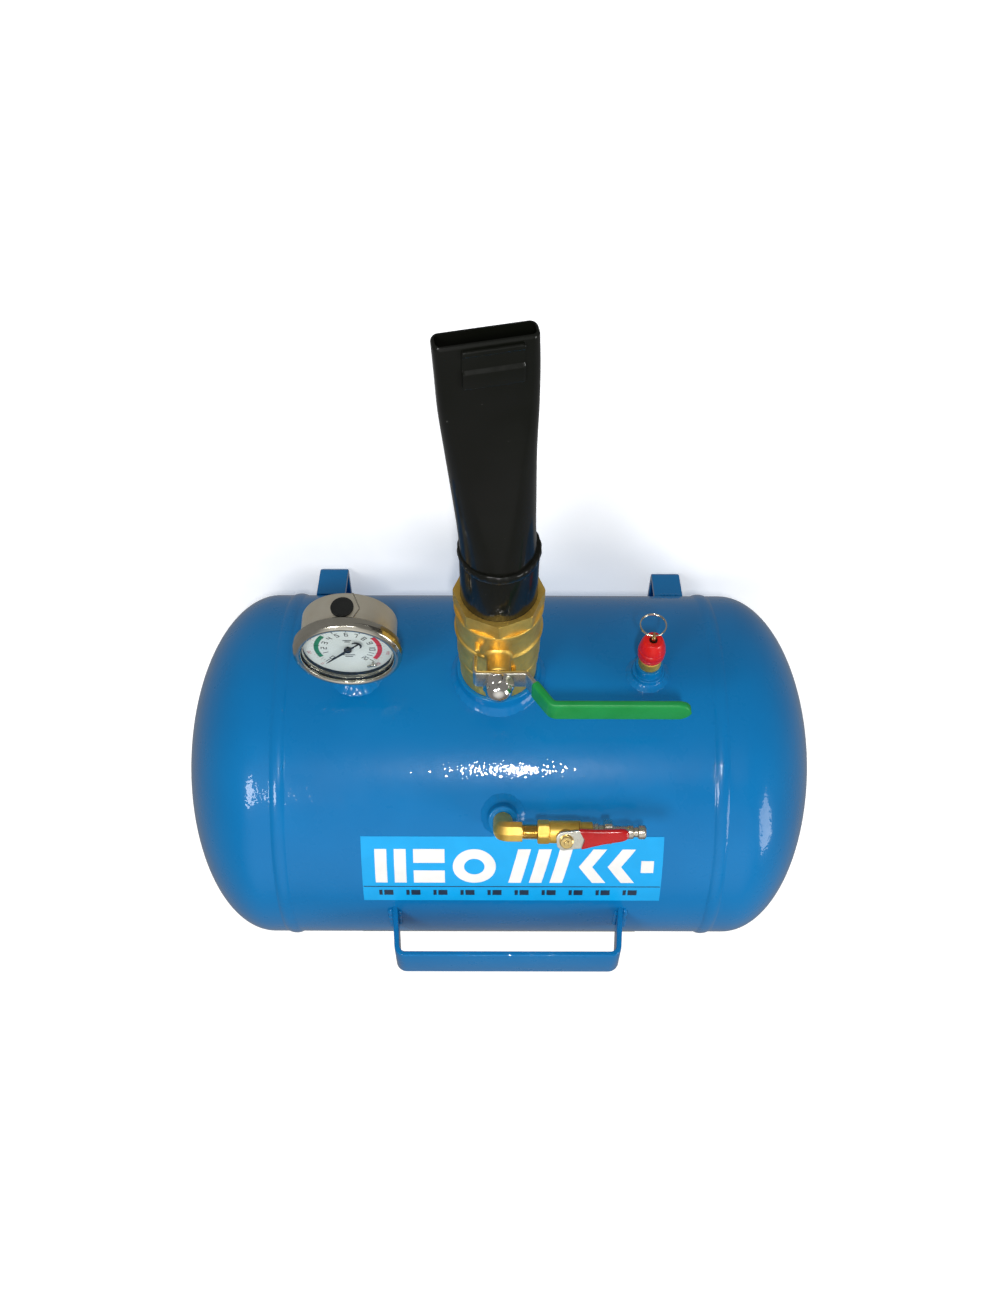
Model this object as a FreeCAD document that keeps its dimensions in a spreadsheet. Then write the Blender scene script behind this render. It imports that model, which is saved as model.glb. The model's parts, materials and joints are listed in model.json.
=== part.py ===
import FreeCAD, Part
import math
import os
import Sketcher

# Bead seater blaster tank: a welded air reservoir on two strap feet, with a
# quick-opening ball valve and a flattened blow nozzle on its front.
# +Z is up (handle side), -Y is the way the nozzle points, X runs along the tank.

doc = FreeCAD.newDocument("bead_seater_tank")
V3 = FreeCAD.Vector
ROT = FreeCAD.Rotation
X_AXIS = V3(1, 0, 0)
Y_AXIS = V3(0, 1, 0)
Z_AXIS = V3(0, 0, 1)

DIMS = {
    # where the tank axis lies
    "axis_y": 155.0, "axis_z": 137.0,
    # pressure vessel
    "tank_radius": 125.0, "tank_wall": 3.0, "shell_half": 148.0, "flange_len": 15.5, "head_depth": 62.5,
    "seam_half": 4.5, "seam_proud": 1.1,
    # bosses and their welds
    "slip_gap": 0.02, "boss_inside": 113.0,
    "valve_x": 1.2, "valve_boss_r": 28.0, "valve_boss_top": 134.0, "valve_thread_r": 24.15,
    "gauge_x": 97.0, "gauge_boss_r": 12.0, "gauge_boss_top": 138.0, "gauge_thread_r": 6.5,
    "safety_x": -100.0, "safety_boss_r": 11.0, "safety_boss_neck": 9.0, "safety_boss_step": 131.0,
    "safety_boss_top": 138.0, "safety_thread_r": 6.2,
    "inlet_x": -2.0, "inlet_angle": 45.0, "inlet_boss_r": 10.0, "inlet_boss_top": 137.0, "inlet_thread_r": 5.2,
    # carrying handle
    "handle_x": -6.0, "handle_y": -1.5, "handle_half": 77.0, "handle_root_half": 80.5, "handle_top": 159.0,
    "handle_thick": 3.5, "handle_width": 31.0, "handle_bend": 7.5, "handle_root": 118.0,
    # feet
    "foot_left_x": 127.0, "foot_left_y": -5.0, "foot_right_x": -128.0, "foot_right_y": 0.0, "foot_width": 21.4,
    "foot_thick": 5.0, "foot_half": 56.0, "foot_leg": 40.0, "foot_flare": 12.0,
    # labels
    "label_thick": 0.25, "label_from": -110.0, "label_len": 203.0, "label_low": 52.0, "label_sweep": 26.0,
    "back_label_len": 200.0, "back_label_low": 112.0, "back_label_sweep": 30.0,
    # main ball valve, distances along the outlet from the tank axis
    "rim_v": 222.0, "octagon_len": 12.4, "octagon_corner_r": 28.9, "ridge_r": 28.4, "waist_r": 27.3,
    "barrel_r": 27.0, "tail_r": 25.4, "body_back": 158.0, "tail_front": 168.0, "cavity_r": 22.4,
    "port_r": 15.0, "ball_r": 20.5, "ball_v": 186.5, "seat_gap": 0.05, "nipple_stop": 208.5,
    "neck_r": 7.6, "neck_foot_r": 9.5, "neck_foot_top": 30.0, "neck_top": 40.4, "gland_r": 5.8, "gland_floor": 34.8,
    "stem_r": 4.2, "stem_gap": 0.05, "stem_square": 6.4,
    # main lever
    "lever_under": 41.6, "lever_thick": 2.5, "lever_width": 15.0, "grip_width": 16.4, "grip_thick": 5.0,
    "lever_rise": 22.4, "lever_bend_x": -17.5, "lever_top_x": -33.0, "lever_end_x": -117.0, "tab_x": 16.0,
    "tab_low": 27.5, "stem_top": 53.3, "sleeve_from": 22.5,
    # blow barrel
    "pipe_r": 24.15, "pipe_wall": 2.6, "pipe_end": 262.0, "bead_v": 264.0, "bead_r": 2.4,
    "tube_start": 262.0, "tube_wall": 2.0, "tube_end": 436.0,
    # pressure gauge
    "gauge_v": 182.2, "case_r": 30.5, "case_wall": 1.2, "case_back": -4.5, "case_rim": 19.0,
    "bezel_r": 35.0, "bezel_front": 25.5, "lens_r": 30.4, "dial_r": 29.2, "dial_face": 17.5,
    "pointer_len": 21.5, "arbor_r": 0.9, "bourdon_r": 22.0, "bourdon_tube": 2.2, "plug_r": 7.3, "plug_h": 7.5,
    "plug_angle": 3.0,
    # safety valve
    "cap_root_v": 146.0, "cap_face_v": 166.6, "cap_r": 9.1, "rod_r": 1.5, "ring_v": 170.5, "ring_r": 8.5,
    "ring_wire": 0.7, "eye_r": 2.7, "eye_hole": 1.4,
    # inlet assembly, distances along the pipe from the middle of the tank
    "inlet_reach": 158.0, "elbow_half": 6.2, "elbow_end": 14.3, "mini_back": 24.0, "mini_hex_end": 31.8,
    "mini_body_end": 50.8, "mini_cap_end": 59.8, "mini_hex_r": 8.1, "mini_r": 7.3, "mini_cap_r": 6.5,
    "mini_stem_s": 42.0, "mini_ball_r": 5.5, "mini_stem_r": 1.8, "mini_lever_z": 12.2, "mini_lever_thick": 1.5,
    "plug_hex_start": 66.5, "plug_hex_end": 72.1, "plug_hex_r": 8.1, "plug_end": 93.7, "air_bore_r": 2.6,
}

sheet = doc.addObject("Spreadsheet::Sheet", "Dims")
for row, (alias, number) in enumerate(DIMS.items(), start=1):
    sheet.set(f"A{row}", alias)
    sheet.set(f"B{row}", str(number))
    sheet.setAlias(f"B{row}", alias)
doc.recompute()


class Dim:
    """A number together with the sheet expression that gives it."""

    def __init__(self, value, text):
        self.value = float(value)
        self.text = text

    def __add__(self, other):
        other = as_dim(other)
        return Dim(self.value + other.value, f"({self.text} + {other.text})")

    def __sub__(self, other):
        other = as_dim(other)
        return Dim(self.value - other.value, f"({self.text} - {other.text})")

    def __mul__(self, other):
        other = as_dim(other)
        return Dim(self.value * other.value, f"({self.text} * {other.text})")

    def __truediv__(self, other):
        other = as_dim(other)
        return Dim(self.value / other.value, f"({self.text} / {other.text})")

    def __radd__(self, other):
        return as_dim(other) + self

    def __rsub__(self, other):
        return as_dim(other) - self

    def __rmul__(self, other):
        return as_dim(other) * self

    def __neg__(self):
        return as_dim(0) - self


def as_dim(x):
    if isinstance(x, Dim):
        return x
    return Dim(x, f"({float(x):.6f})")


class Sizes:
    """Reads a sheet cell by its alias."""

    def __getattr__(self, alias):
        return Dim(DIMS[alias], f"Dims.{alias}")


D = Sizes()
counter = {}


def fresh(stem):
    counter[stem] = counter.get(stem, 0) + 1
    return f"{stem}_{counter[stem]}"


def bind(obj, prop, value):
    dim = as_dim(value)
    obj.setExpression(prop, dim.text)
    return dim.value


def place(obj, at=(0, 0, 0), turn=None):
    """Puts the object at a point given by sheet values and turns it."""
    point = V3(*[as_dim(c).value for c in at])
    obj.Placement = FreeCAD.Placement(point, turn or ROT())
    for axis, coordinate in zip("xyz", at):
        if isinstance(coordinate, Dim):
            obj.setExpression(f"Placement.Base.{axis}", coordinate.text)
    return obj


def primitive(kind, stem, sizes, at=(0, 0, 0), turn=None):
    obj = doc.addObject(kind, fresh(stem))
    for prop, value in sizes.items():
        setattr(obj, prop, bind(obj, prop, value))
    return place(obj, at, turn)


def cylinder(stem, radius, height, at=(0, 0, 0), turn=None):
    return primitive("Part::Cylinder", stem, {"Radius": radius, "Height": height}, at, turn)


def prism(stem, sides, corner_radius, height, at=(0, 0, 0), turn=None):
    obj = primitive("Part::Prism", stem, {"Circumradius": corner_radius, "Height": height}, at, turn)
    obj.Polygon = sides
    return obj


def sphere(stem, radius, at=(0, 0, 0)):
    return primitive("Part::Sphere", stem, {"Radius": radius}, at)


def box(stem, size, at=(0, 0, 0), turn=None):
    """A box centred on its own x and y and standing on z = 0."""
    length, width, height = [as_dim(c) for c in size]
    x, y, z = [as_dim(c) for c in at]
    corner = (length / -2, width / -2, as_dim(0))
    block = primitive("Part::Box", stem, {"Length": length, "Width": width, "Height": height}, corner)
    holder = doc.addObject("Part::Compound", fresh(stem + "_at"))
    holder.Links = [block]
    return place(holder, (x, y, z), turn)


def fused(stem, pieces):
    obj = doc.addObject("Part::MultiFuse", fresh(stem))
    obj.Shapes = pieces
    obj.Refine = True
    return obj


def cut(stem, base, tools):
    result = base
    for tool in tools:
        obj = doc.addObject("Part::Cut", fresh(stem))
        obj.Base = result
        obj.Tool = tool
        obj.Refine = True
        result = obj
    return result


def common(stem, one, other):
    obj = doc.addObject("Part::Common", fresh(stem))
    obj.Base = one
    obj.Tool = other
    return obj


def new_body(stem):
    return doc.addObject("PartDesign::Body", fresh(stem))


def sketch_on(body, role, height=0):
    sketch = body.newObject("Sketcher::SketchObject", fresh(body.Name + "_sketch"))
    plane = [item for item in body.Origin.OriginFeatures if item.Role == role][0]
    sketch.AttachmentSupport = (plane, [""])
    sketch.MapMode = "FlatFace"
    height = as_dim(height)
    sketch.AttachmentOffset = FreeCAD.Placement(V3(0, 0, height.value), ROT())
    if "Dims" in height.text:
        sketch.setExpression("AttachmentOffset.Base.z", height.text)
    return sketch


def pin(sketch, kind, geometry, point, value):
    """Holds one coordinate of a sketch point at a sheet value."""
    dim = as_dim(value)
    axis = -2 if kind == "DistanceX" else -1
    if abs(dim.value) < 1e-9:
        sketch.addConstraint(Sketcher.Constraint("PointOnObject", geometry, point, axis))
        return
    index = sketch.addConstraint(Sketcher.Constraint(kind, -1, 1, geometry, point, dim.value))
    if "Dims" in dim.text:
        sketch.setExpression(f"Constraints[{index}]", dim.text)


def outline(sketch, points):
    """Closed straight-sided outline with every corner held by sheet values."""
    corners = [(as_dim(x), as_dim(y)) for x, y in points]
    count = len(corners)
    first = sketch.GeometryCount
    for i in range(count):
        a = corners[i]
        b = corners[(i + 1) % count]
        sketch.addGeometry(Part.LineSegment(V3(a[0].value, a[1].value, 0), V3(b[0].value, b[1].value, 0)))
    for i in range(count):
        sketch.addConstraint(Sketcher.Constraint("Coincident", first + i, 2, first + (i + 1) % count, 1))
    for i, (x, y) in enumerate(corners):
        pin(sketch, "DistanceX", first + i, 1, x)
        pin(sketch, "DistanceY", first + i, 1, y)


def turned(stem, profile):
    """Solid of revolution about local z from (radius, height) corners."""
    body = new_body(stem)
    sketch = sketch_on(body, "XZ_Plane")
    outline(sketch, profile)
    revolution = body.newObject("PartDesign::Revolution", fresh(stem + "_turn"))
    revolution.Profile = (sketch, [""])
    revolution.ReferenceAxis = (sketch, ["V_Axis"])
    revolution.Angle = 360
    body.Tip = revolution
    return body


def slab(stem, role, points, thickness, height=0, midplane=False, reverse=False):
    """Straight-sided outline padded to a thickness."""
    body = new_body(stem)
    sketch = sketch_on(body, role, height)
    outline(sketch, points)
    pad = body.newObject("PartDesign::Pad", fresh(stem + "_pad"))
    pad.Profile = (sketch, [""])
    pad.Length = bind(pad, "Length", thickness)
    pad.Midplane = midplane
    pad.Reversed = reverse
    body.Tip = pad
    doc.recompute()
    return body


def soften(body, radius, wanted):
    """Rounds the edges of a body's tip that the test picks out."""
    solid = body.Tip
    names = [f"Edge{i}" for i, edge in enumerate(solid.Shape.Edges, start=1) if wanted(edge)]
    fillet = body.newObject("PartDesign::Fillet", fresh(body.Name + "_fillet"))
    fillet.Base = (solid, names)
    fillet.Radius = radius
    body.Tip = fillet
    doc.recompute()
    return body


def middle(edge):
    return edge.valueAt((edge.FirstParameter + edge.LastParameter) / 2)


def runs_along(edge, direction):
    if not isinstance(edge.Curve, Part.Line):
        return False
    return abs(edge.Curve.Direction.dot(direction)) > 0.999


sub_parts = []


def sub_part(obj, label, at=(0, 0, 0), turn=None):
    place(obj, at, turn)
    obj.Label = label
    sub_parts.append(obj)
    return obj


# local frames: all share the tank axis as origin
FORWARD = ROT(X_AXIS, 90)          # local z runs to the front, local y runs up
INLET = ROT(X_AXIS, 45)            # local z runs out of the tank half way between front and top
MINI = ROT(X_AXIS, 39)             # local z runs along the mini valve stem
ALONG_X = ROT(Y_AXIS, 90)
PIPE = MINI.multiply(ROT(Y_AXIS, -90))   # local z runs along the inlet pipe, local x along its stem


def on_axis(x):
    return (x, D.axis_y, D.axis_z)


# ---------------------------------------------------------------- pressure vessel
core = cylinder("tank_core", D.tank_radius, 700, (-350, 0, 0), ALONG_X)


def bore(x, radius, turn):
    return cylinder("boss_hole", radius + D.slip_gap, 200, (x, 0, 0), turn)


shell_outer = cylinder("shell_outer", D.tank_radius, 2 * D.shell_half, (-D.shell_half, 0, 0), ALONG_X)
shell_inner = cylinder("shell_inner", D.tank_radius - D.tank_wall, 2 * D.shell_half + 2,
                       (-D.shell_half - 1, 0, 0), ALONG_X)
boss_holes = [
    bore(D.valve_x, D.valve_boss_r, FORWARD),
    bore(D.gauge_x, D.gauge_boss_r, FORWARD),
    bore(D.safety_x, D.safety_boss_r, FORWARD),
    bore(D.inlet_x, D.inlet_boss_r, INLET),
]
sub_part(cut("shell", shell_outer, [shell_inner] + boss_holes), "tank_shell", on_axis(0))


def head(label, side):
    """Two-to-one elliptical head with a straight flange."""
    def dished(radius, depth):
        dome = primitive("Part::Ellipsoid", "dome", {"Radius1": depth, "Radius2": radius, "Radius3": radius},
                         (0, 0, D.flange_len))
        dome.Angle1 = 0
        dome.Angle2 = 90
        return fused("dished", [dome, cylinder("flange", radius, D.flange_len)])

    outer = dished(D.tank_radius, D.head_depth)
    inner = dished(D.tank_radius - D.tank_wall, D.head_depth - D.tank_wall)
    sub_part(cut("head", outer, [inner]), label, on_axis(D.shell_half * side), ROT(Y_AXIS, 90 * side))


head("head_left", 1)
head("head_right", -1)

for label, side in (("seam_weld_left", 1), ("seam_weld_right", -1)):
    seam = turned("seam", [
        (D.tank_radius, -D.seam_half),
        (D.tank_radius + D.seam_proud * 0.7, D.seam_half * -0.6),
        (D.tank_radius + D.seam_proud, 0),
        (D.tank_radius + D.seam_proud * 0.7, D.seam_half * 0.6),
        (D.tank_radius, D.seam_half),
    ])
    sub_part(seam, label, on_axis(D.shell_half * side), ALONG_X)

# ---------------------------------------------------------------- bosses and welds
valve_boss = turned("valve_boss_tube", [
    (D.valve_thread_r + D.slip_gap, D.boss_inside), (D.valve_boss_r, D.boss_inside),
    (D.valve_boss_r, D.valve_boss_top - 1.2), (D.valve_boss_r - 1.2, D.valve_boss_top),
    (D.valve_thread_r + D.slip_gap, D.valve_boss_top),
])
sub_part(valve_boss, "valve_boss", on_axis(D.valve_x), FORWARD)

gauge_boss = turned("gauge_boss_tube", [
    (D.gauge_thread_r + D.slip_gap, D.boss_inside), (D.gauge_boss_r, D.boss_inside),
    (D.gauge_boss_r, D.gauge_boss_top - 1), (D.gauge_boss_r - 1, D.gauge_boss_top),
    (D.gauge_thread_r + D.slip_gap, D.gauge_boss_top),
])
sub_part(gauge_boss, "gauge_boss", on_axis(D.gauge_x), FORWARD)

safety_boss = turned("safety_boss_tube", [
    (D.safety_thread_r + D.slip_gap, D.boss_inside), (D.safety_boss_r, D.boss_inside),
    (D.safety_boss_r, D.safety_boss_step - 0.8), (D.safety_boss_r - 0.8, D.safety_boss_step),
    (D.safety_boss_neck, D.safety_boss_step), (D.safety_boss_neck, D.safety_boss_top - 0.8),
    (D.safety_boss_neck - 0.8, D.safety_boss_top), (D.safety_thread_r + D.slip_gap, D.safety_boss_top),
])
sub_part(safety_boss, "safety_boss", on_axis(D.safety_x), FORWARD)

inlet_boss = turned("inlet_boss_tube", [
    (D.inlet_thread_r + D.slip_gap, D.boss_inside), (D.inlet_boss_r, D.boss_inside),
    (D.inlet_boss_r, D.inlet_boss_top - 1.2), (D.inlet_boss_r - 1.2, D.inlet_boss_top),
    (D.inlet_thread_r + D.slip_gap, D.inlet_boss_top),
])
sub_part(inlet_boss, "inlet_boss", on_axis(D.inlet_x), INLET)


def boss_weld(label, x, radius, width, rise, turn):
    """Fillet weld round a boss, trimmed to the tank."""
    ring = turned("weld_ring", [
        (radius, D.tank_radius - 8), (radius + width, D.tank_radius - 8), (radius + width, D.tank_radius - 1),
        (radius + width * 0.72, D.tank_radius + rise * 0.45), (radius + width * 0.3, D.tank_radius + rise * 0.82),
        (radius, D.tank_radius + rise),
    ])
    sub_part(cut("weld", ring, [core]), label, on_axis(x), turn)


boss_weld("valve_boss_weld", D.valve_x, D.valve_boss_r, 3.6, 4.6, FORWARD)
boss_weld("gauge_boss_weld", D.gauge_x, D.gauge_boss_r, 6.0, 5.0, FORWARD)
boss_weld("safety_boss_weld", D.safety_x, D.safety_boss_r, 3.6, 3.2, FORWARD)
boss_weld("inlet_boss_weld", D.inlet_x, D.inlet_boss_r, 4.5, 4.5, INLET)

# ---------------------------------------------------------------- handle and feet
leg_lean = (D.handle_root_half - D.handle_half) / (D.handle_top - D.handle_root)


def leg_x(height, inset=0):
    """How far out the splayed outer face of a handle leg stands at a height."""
    return D.handle_half + leg_lean * (D.handle_top - height) - inset


strap_under = D.handle_top - D.handle_thick
strap = slab("handle_strap", "XZ_Plane", [
    (-leg_x(D.handle_root), D.handle_root), (-D.handle_half, D.handle_top), (D.handle_half, D.handle_top),
    (leg_x(D.handle_root), D.handle_root), (leg_x(D.handle_root, D.handle_thick), D.handle_root),
    (leg_x(strap_under, D.handle_thick), strap_under), (-leg_x(strap_under, D.handle_thick), strap_under),
    (-leg_x(D.handle_root, D.handle_thick), D.handle_root),
], D.handle_width, midplane=True)
outer_bend = DIMS["handle_bend"]
inner_bend = outer_bend - DIMS["handle_thick"]
corner_height = DIMS["handle_top"]
edge_y = DIMS["handle_width"] / 2
soften(strap, outer_bend, lambda e: runs_along(e, Y_AXIS) and middle(e).z > corner_height - 1)
soften(strap, inner_bend, lambda e: runs_along(e, Y_AXIS) and abs(middle(e).z - strap_under.value) < 0.1)
soften(strap, 0.8, lambda e: middle(e).z > DIMS["handle_root"] + 1 and abs(abs(middle(e).y) - edge_y) < 0.01)
handle_core = cylinder("handle_core", D.tank_radius, 700, (-350, D.handle_y * -1, 0), ALONG_X)
sub_part(cut("handle", strap, [handle_core]), "carry_handle", (D.handle_x, D.axis_y + D.handle_y, D.axis_z))

for label, side in (("handle_weld_left", 1), ("handle_weld_right", -1)):
    bead = slab("handle_bead", "XZ_Plane", [
        (leg_x(110) * side, 110), (leg_x(110, -5) * side, 110), (leg_x(125.6, -4.2) * side, 125.6),
        (leg_x(127.8, -1.6) * side, 127.8), (leg_x(129.4) * side, 129.4),
    ], D.handle_width - 2, midplane=True)
    sub_part(cut("handle_weld", bead, [handle_core]), label, (D.handle_x, D.axis_y + D.handle_y, D.axis_z))

for label, foot_x, foot_y in (("foot_left", D.foot_left_x, D.foot_left_y),
                             ("foot_right", D.foot_right_x, D.foot_right_y)):
    lean = D.foot_flare / D.foot_leg
    wall = D.foot_thick * 1.044
    floor = -D.axis_z
    foot = slab("foot_strap", "YZ_Plane", [
        (-D.foot_half, floor), (D.foot_half, floor), (D.foot_half + D.foot_flare, floor + D.foot_leg),
        (D.foot_half + D.foot_flare - wall, floor + D.foot_leg),
        (D.foot_half - wall + lean * D.foot_thick, floor + D.foot_thick),
        (-D.foot_half + wall - lean * D.foot_thick, floor + D.foot_thick),
        (-D.foot_half - D.foot_flare + wall, floor + D.foot_leg),
        (-D.foot_half - D.foot_flare, floor + D.foot_leg),
    ], D.foot_width, midplane=True)
    floor_level = -DIMS["axis_z"]
    soften(foot, 4, lambda e: runs_along(e, X_AXIS) and abs(middle(e).z - floor_level) < 0.1)
    foot_core = cylinder("foot_core", D.tank_radius, 700, (-350, foot_y * -1, 0), ALONG_X)
    sub_part(cut("foot", foot, [foot_core]), label, (foot_x, D.axis_y + foot_y, D.axis_z))


def label_sheet(label, length, sweep, start_x, low_angle):
    """Thin printed sheet wrapped on the shell, its lower edge at an angle above the front."""
    outer = cylinder("label_outer", D.tank_radius + D.label_thick, length)
    inner = cylinder("label_inner", D.tank_radius, length + 2, (0, 0, -1))
    outer.Angle = bind(outer, "Angle", sweep)
    top = math.radians(low_angle + sweep.value)
    turn = ROT(V3(0, -math.cos(top), math.sin(top)), V3(0, -math.sin(top), -math.cos(top)), X_AXIS, "ZXY")
    sub_part(cut("label", outer, [inner]), label, (start_x, D.axis_y, D.axis_z), turn)


label_sheet("front_label", D.label_len, D.label_sweep, D.label_from, DIMS["label_low"])
label_sheet("back_label", D.back_label_len, D.back_label_sweep, D.back_label_len * -0.5, DIMS["back_label_low"])
doc.recompute()

# ---------------------------------------------------------------- main ball valve
tail = turned("valve_tail_turned", [
    (D.port_r + 2, D.boss_inside + 3), (D.valve_thread_r - 0.8, D.boss_inside + 3),
    (D.valve_thread_r, D.boss_inside + 4), (D.valve_thread_r, D.valve_boss_top),
    (D.tail_r, D.valve_boss_top), (D.tail_r, D.body_back - 10), (D.barrel_r - 0.6, D.body_back - 7),
    (D.barrel_r - 0.6, D.body_back - 1), (D.barrel_r - 1.6, D.body_back), (D.cavity_r + 1.4, D.body_back),
    (D.cavity_r + 1.4, D.ball_v - 18.5), (D.port_r, D.ball_v - 18.5), (D.port_r, D.body_back - 6),
])
sub_part(tail, "valve_tail", on_axis(D.valve_x), FORWARD)

casting = turned("valve_casting", [
    (D.port_r, D.body_back), (D.barrel_r - 0.8, D.body_back), (D.barrel_r, D.body_back + 1),
    (D.barrel_r, D.ball_v - 4), (D.ridge_r - 0.4, D.ball_v - 3.2), (D.ridge_r, D.ball_v - 2.4),
    (D.ridge_r, D.ball_v - 0.8), (D.ridge_r - 0.4, D.ball_v), (D.waist_r, D.ball_v + 0.8),
    (D.waist_r, D.rim_v - D.octagon_len - 3.4), (D.ridge_r - 0.4, D.rim_v - D.octagon_len - 2.8),
    (D.ridge_r, D.rim_v - D.octagon_len - 2), (D.ridge_r, D.rim_v - D.octagon_len - 0.9),
    (D.ridge_r - 0.5, D.rim_v - D.octagon_len), (D.port_r, D.rim_v - D.octagon_len),
])
octagon = prism("octagon", 8, D.octagon_corner_r, D.octagon_len, (0, 0, D.rim_v - D.octagon_len))
octagon_edge = turned("octagon_edge", [
    (0, D.ball_v), (D.ridge_r + 2, D.ball_v), (D.ridge_r + 2, D.rim_v - 2), (D.octagon_corner_r - 0.5, D.rim_v),
    (0, D.rim_v),
])
UPWARD = ROT(X_AXIS, -90)          # local z runs along local y of the forward frame
neck = cylinder("neck", D.neck_r, D.neck_top, (0, 0, D.ball_v), UPWARD)
neck_foot = primitive("Part::Cone", "neck_foot", {"Radius1": D.neck_foot_r, "Radius2": D.neck_r,
                                                 "Height": D.neck_foot_top}, (0, 0, D.ball_v), UPWARD)
stop_lugs = [
    box("stop_lug", (3.2, 3.4, 8.0), (D.tab_x - 2.6, 21.0, D.ball_v + 9.7), UPWARD),
    box("stop_lug", (3.2, 3.6, 6.0), (-9.6, 23.0, D.ball_v - 14.6), UPWARD),
]
waterway = turned("waterway", [
    (0, D.body_back - 1), (D.cavity_r + 1.42, D.body_back - 1), (D.cavity_r + 1.42, D.ball_v - 18.5),
    (D.cavity_r, D.ball_v - 18.5), (D.cavity_r, D.ball_v + 18.5), (D.port_r, D.ball_v + 18.5),
    (D.port_r, D.nipple_stop), (D.pipe_r + D.slip_gap, D.nipple_stop), (D.pipe_r + D.slip_gap, D.rim_v + 1),
    (0, D.rim_v + 1),
])
stem_bore = cylinder("stem_bore", D.stem_r + D.stem_gap, 60, (0, 0, D.ball_v), UPWARD)
gland_bore = cylinder("gland_bore", D.gland_r + D.slip_gap, 30, (0, D.gland_floor, D.ball_v), UPWARD)
housing = fused("housing", [casting, common("octagon_end", octagon, octagon_edge), neck, neck_foot] + stop_lugs)
sub_part(cut("valve", housing, [waterway, stem_bore, gland_bore]), "valve_body", on_axis(D.valve_x), FORWARD)

# ball, closed: its bore lies across the pipe
ball_solid = sphere("ball", D.ball_r)
ball_bore = cylinder("ball_bore", D.port_r, 60, (-30, 0, 0), ALONG_X)
ball_slot = box("ball_slot", (60, 4.2, 20), (0, 0, D.ball_r - 5.5))
sub_part(cut("valve_ball", ball_solid, [ball_bore, ball_slot]), "valve_ball",
         (D.valve_x, D.axis_y - D.ball_v, D.axis_z))

for label, side in (("seat_front", 1), ("seat_rear", -1)):
    ring = turned("seat_ring", [
        (D.port_r + 0.4, 10), (D.cavity_r - 0.4, 10), (D.cavity_r - 0.02, 11), (D.cavity_r - 0.02, 18.5),
        (D.port_r + 0.4, 18.5),
    ])
    seat = cut("seat", ring, [sphere("seat_ball", D.ball_r + D.seat_gap)])
    sub_part(seat, label, (D.valve_x, D.axis_y - D.ball_v, D.axis_z), ROT(X_AXIS, 90 * side))

stem_turned = turned("stem_turned", [
    (0, D.ball_r - 5.4), (D.stem_r + 2.4, D.ball_r - 5.4), (D.stem_r + 2.4, D.cavity_r - 1.0),
    (D.stem_r, D.cavity_r - 1.0), (D.stem_r, D.stem_top - 1), (D.stem_r - 1, D.stem_top), (0, D.stem_top),
])
tang = box("tang", (14, 4.1, 12), (0, 0, D.ball_r - 5.4))
above = box("stem_thread_zone", (30, 30, 30), (0, 0, D.neck_top + 0.9))
square = box("stem_square", (D.stem_square, D.stem_square, 30), (0, 0, D.neck_top + 0.9))
lower_stem = common("stem_low", stem_turned, cylinder("stem_low_zone", 12, D.neck_top + 0.9))
blade = common("stem_blade", lower_stem, box("stem_blade_zone", (30, 4.1, D.cavity_r - 1.0), (0, 0, 0)))
shank = cut("stem_shank", lower_stem, [cylinder("stem_foot_zone", 12, D.cavity_r - 1.0)])
upper_stem = common("stem_up", stem_turned, square)
sub_part(fused("stem", [blade, shank, upper_stem]), "valve_stem", (D.valve_x, D.axis_y - D.ball_v, D.axis_z))

packing = turned("packing", [
    (D.stem_r + D.stem_gap, D.gland_floor), (D.gland_r, D.gland_floor), (D.gland_r, D.neck_top - 2),
    (D.stem_r + D.stem_gap, D.neck_top - 2),
])
sub_part(packing, "stem_packing", (D.valve_x, D.axis_y - D.ball_v, D.axis_z))
gland = turned("gland", [
    (D.stem_r + D.stem_gap, D.neck_top - 2), (D.gland_r, D.neck_top - 2), (D.gland_r, D.neck_top),
    (D.neck_r - 0.4, D.neck_top), (D.neck_r - 0.4, D.neck_top + 0.8), (D.stem_r + D.stem_gap, D.neck_top + 0.8),
])
sub_part(gland, "gland_ring", (D.valve_x, D.axis_y - D.ball_v, D.axis_z))

# ---------------------------------------------------------------- main lever
LEVER_AT = (D.valve_x, D.axis_y - D.ball_v, D.axis_z)
slope_tan = DIMS["lever_rise"] / (DIMS["lever_bend_x"] - DIMS["lever_top_x"])
half_bend = math.tan(math.atan(slope_tan) / 2)


def lever_band(under, thick, first_x, last_x):
    """Side outline of the cranked lever between two x positions."""
    shift = thick * half_bend
    over = under + thick
    return [
        (last_x, under + D.lever_rise), (D.lever_top_x - shift / 2, under + D.lever_rise),
        (D.lever_bend_x - shift / 2, under), (first_x, under), (first_x, over),
        (D.lever_bend_x + shift / 2, over), (D.lever_top_x + shift / 2, over + D.lever_rise),
        (last_x, over + D.lever_rise),
    ]


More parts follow.
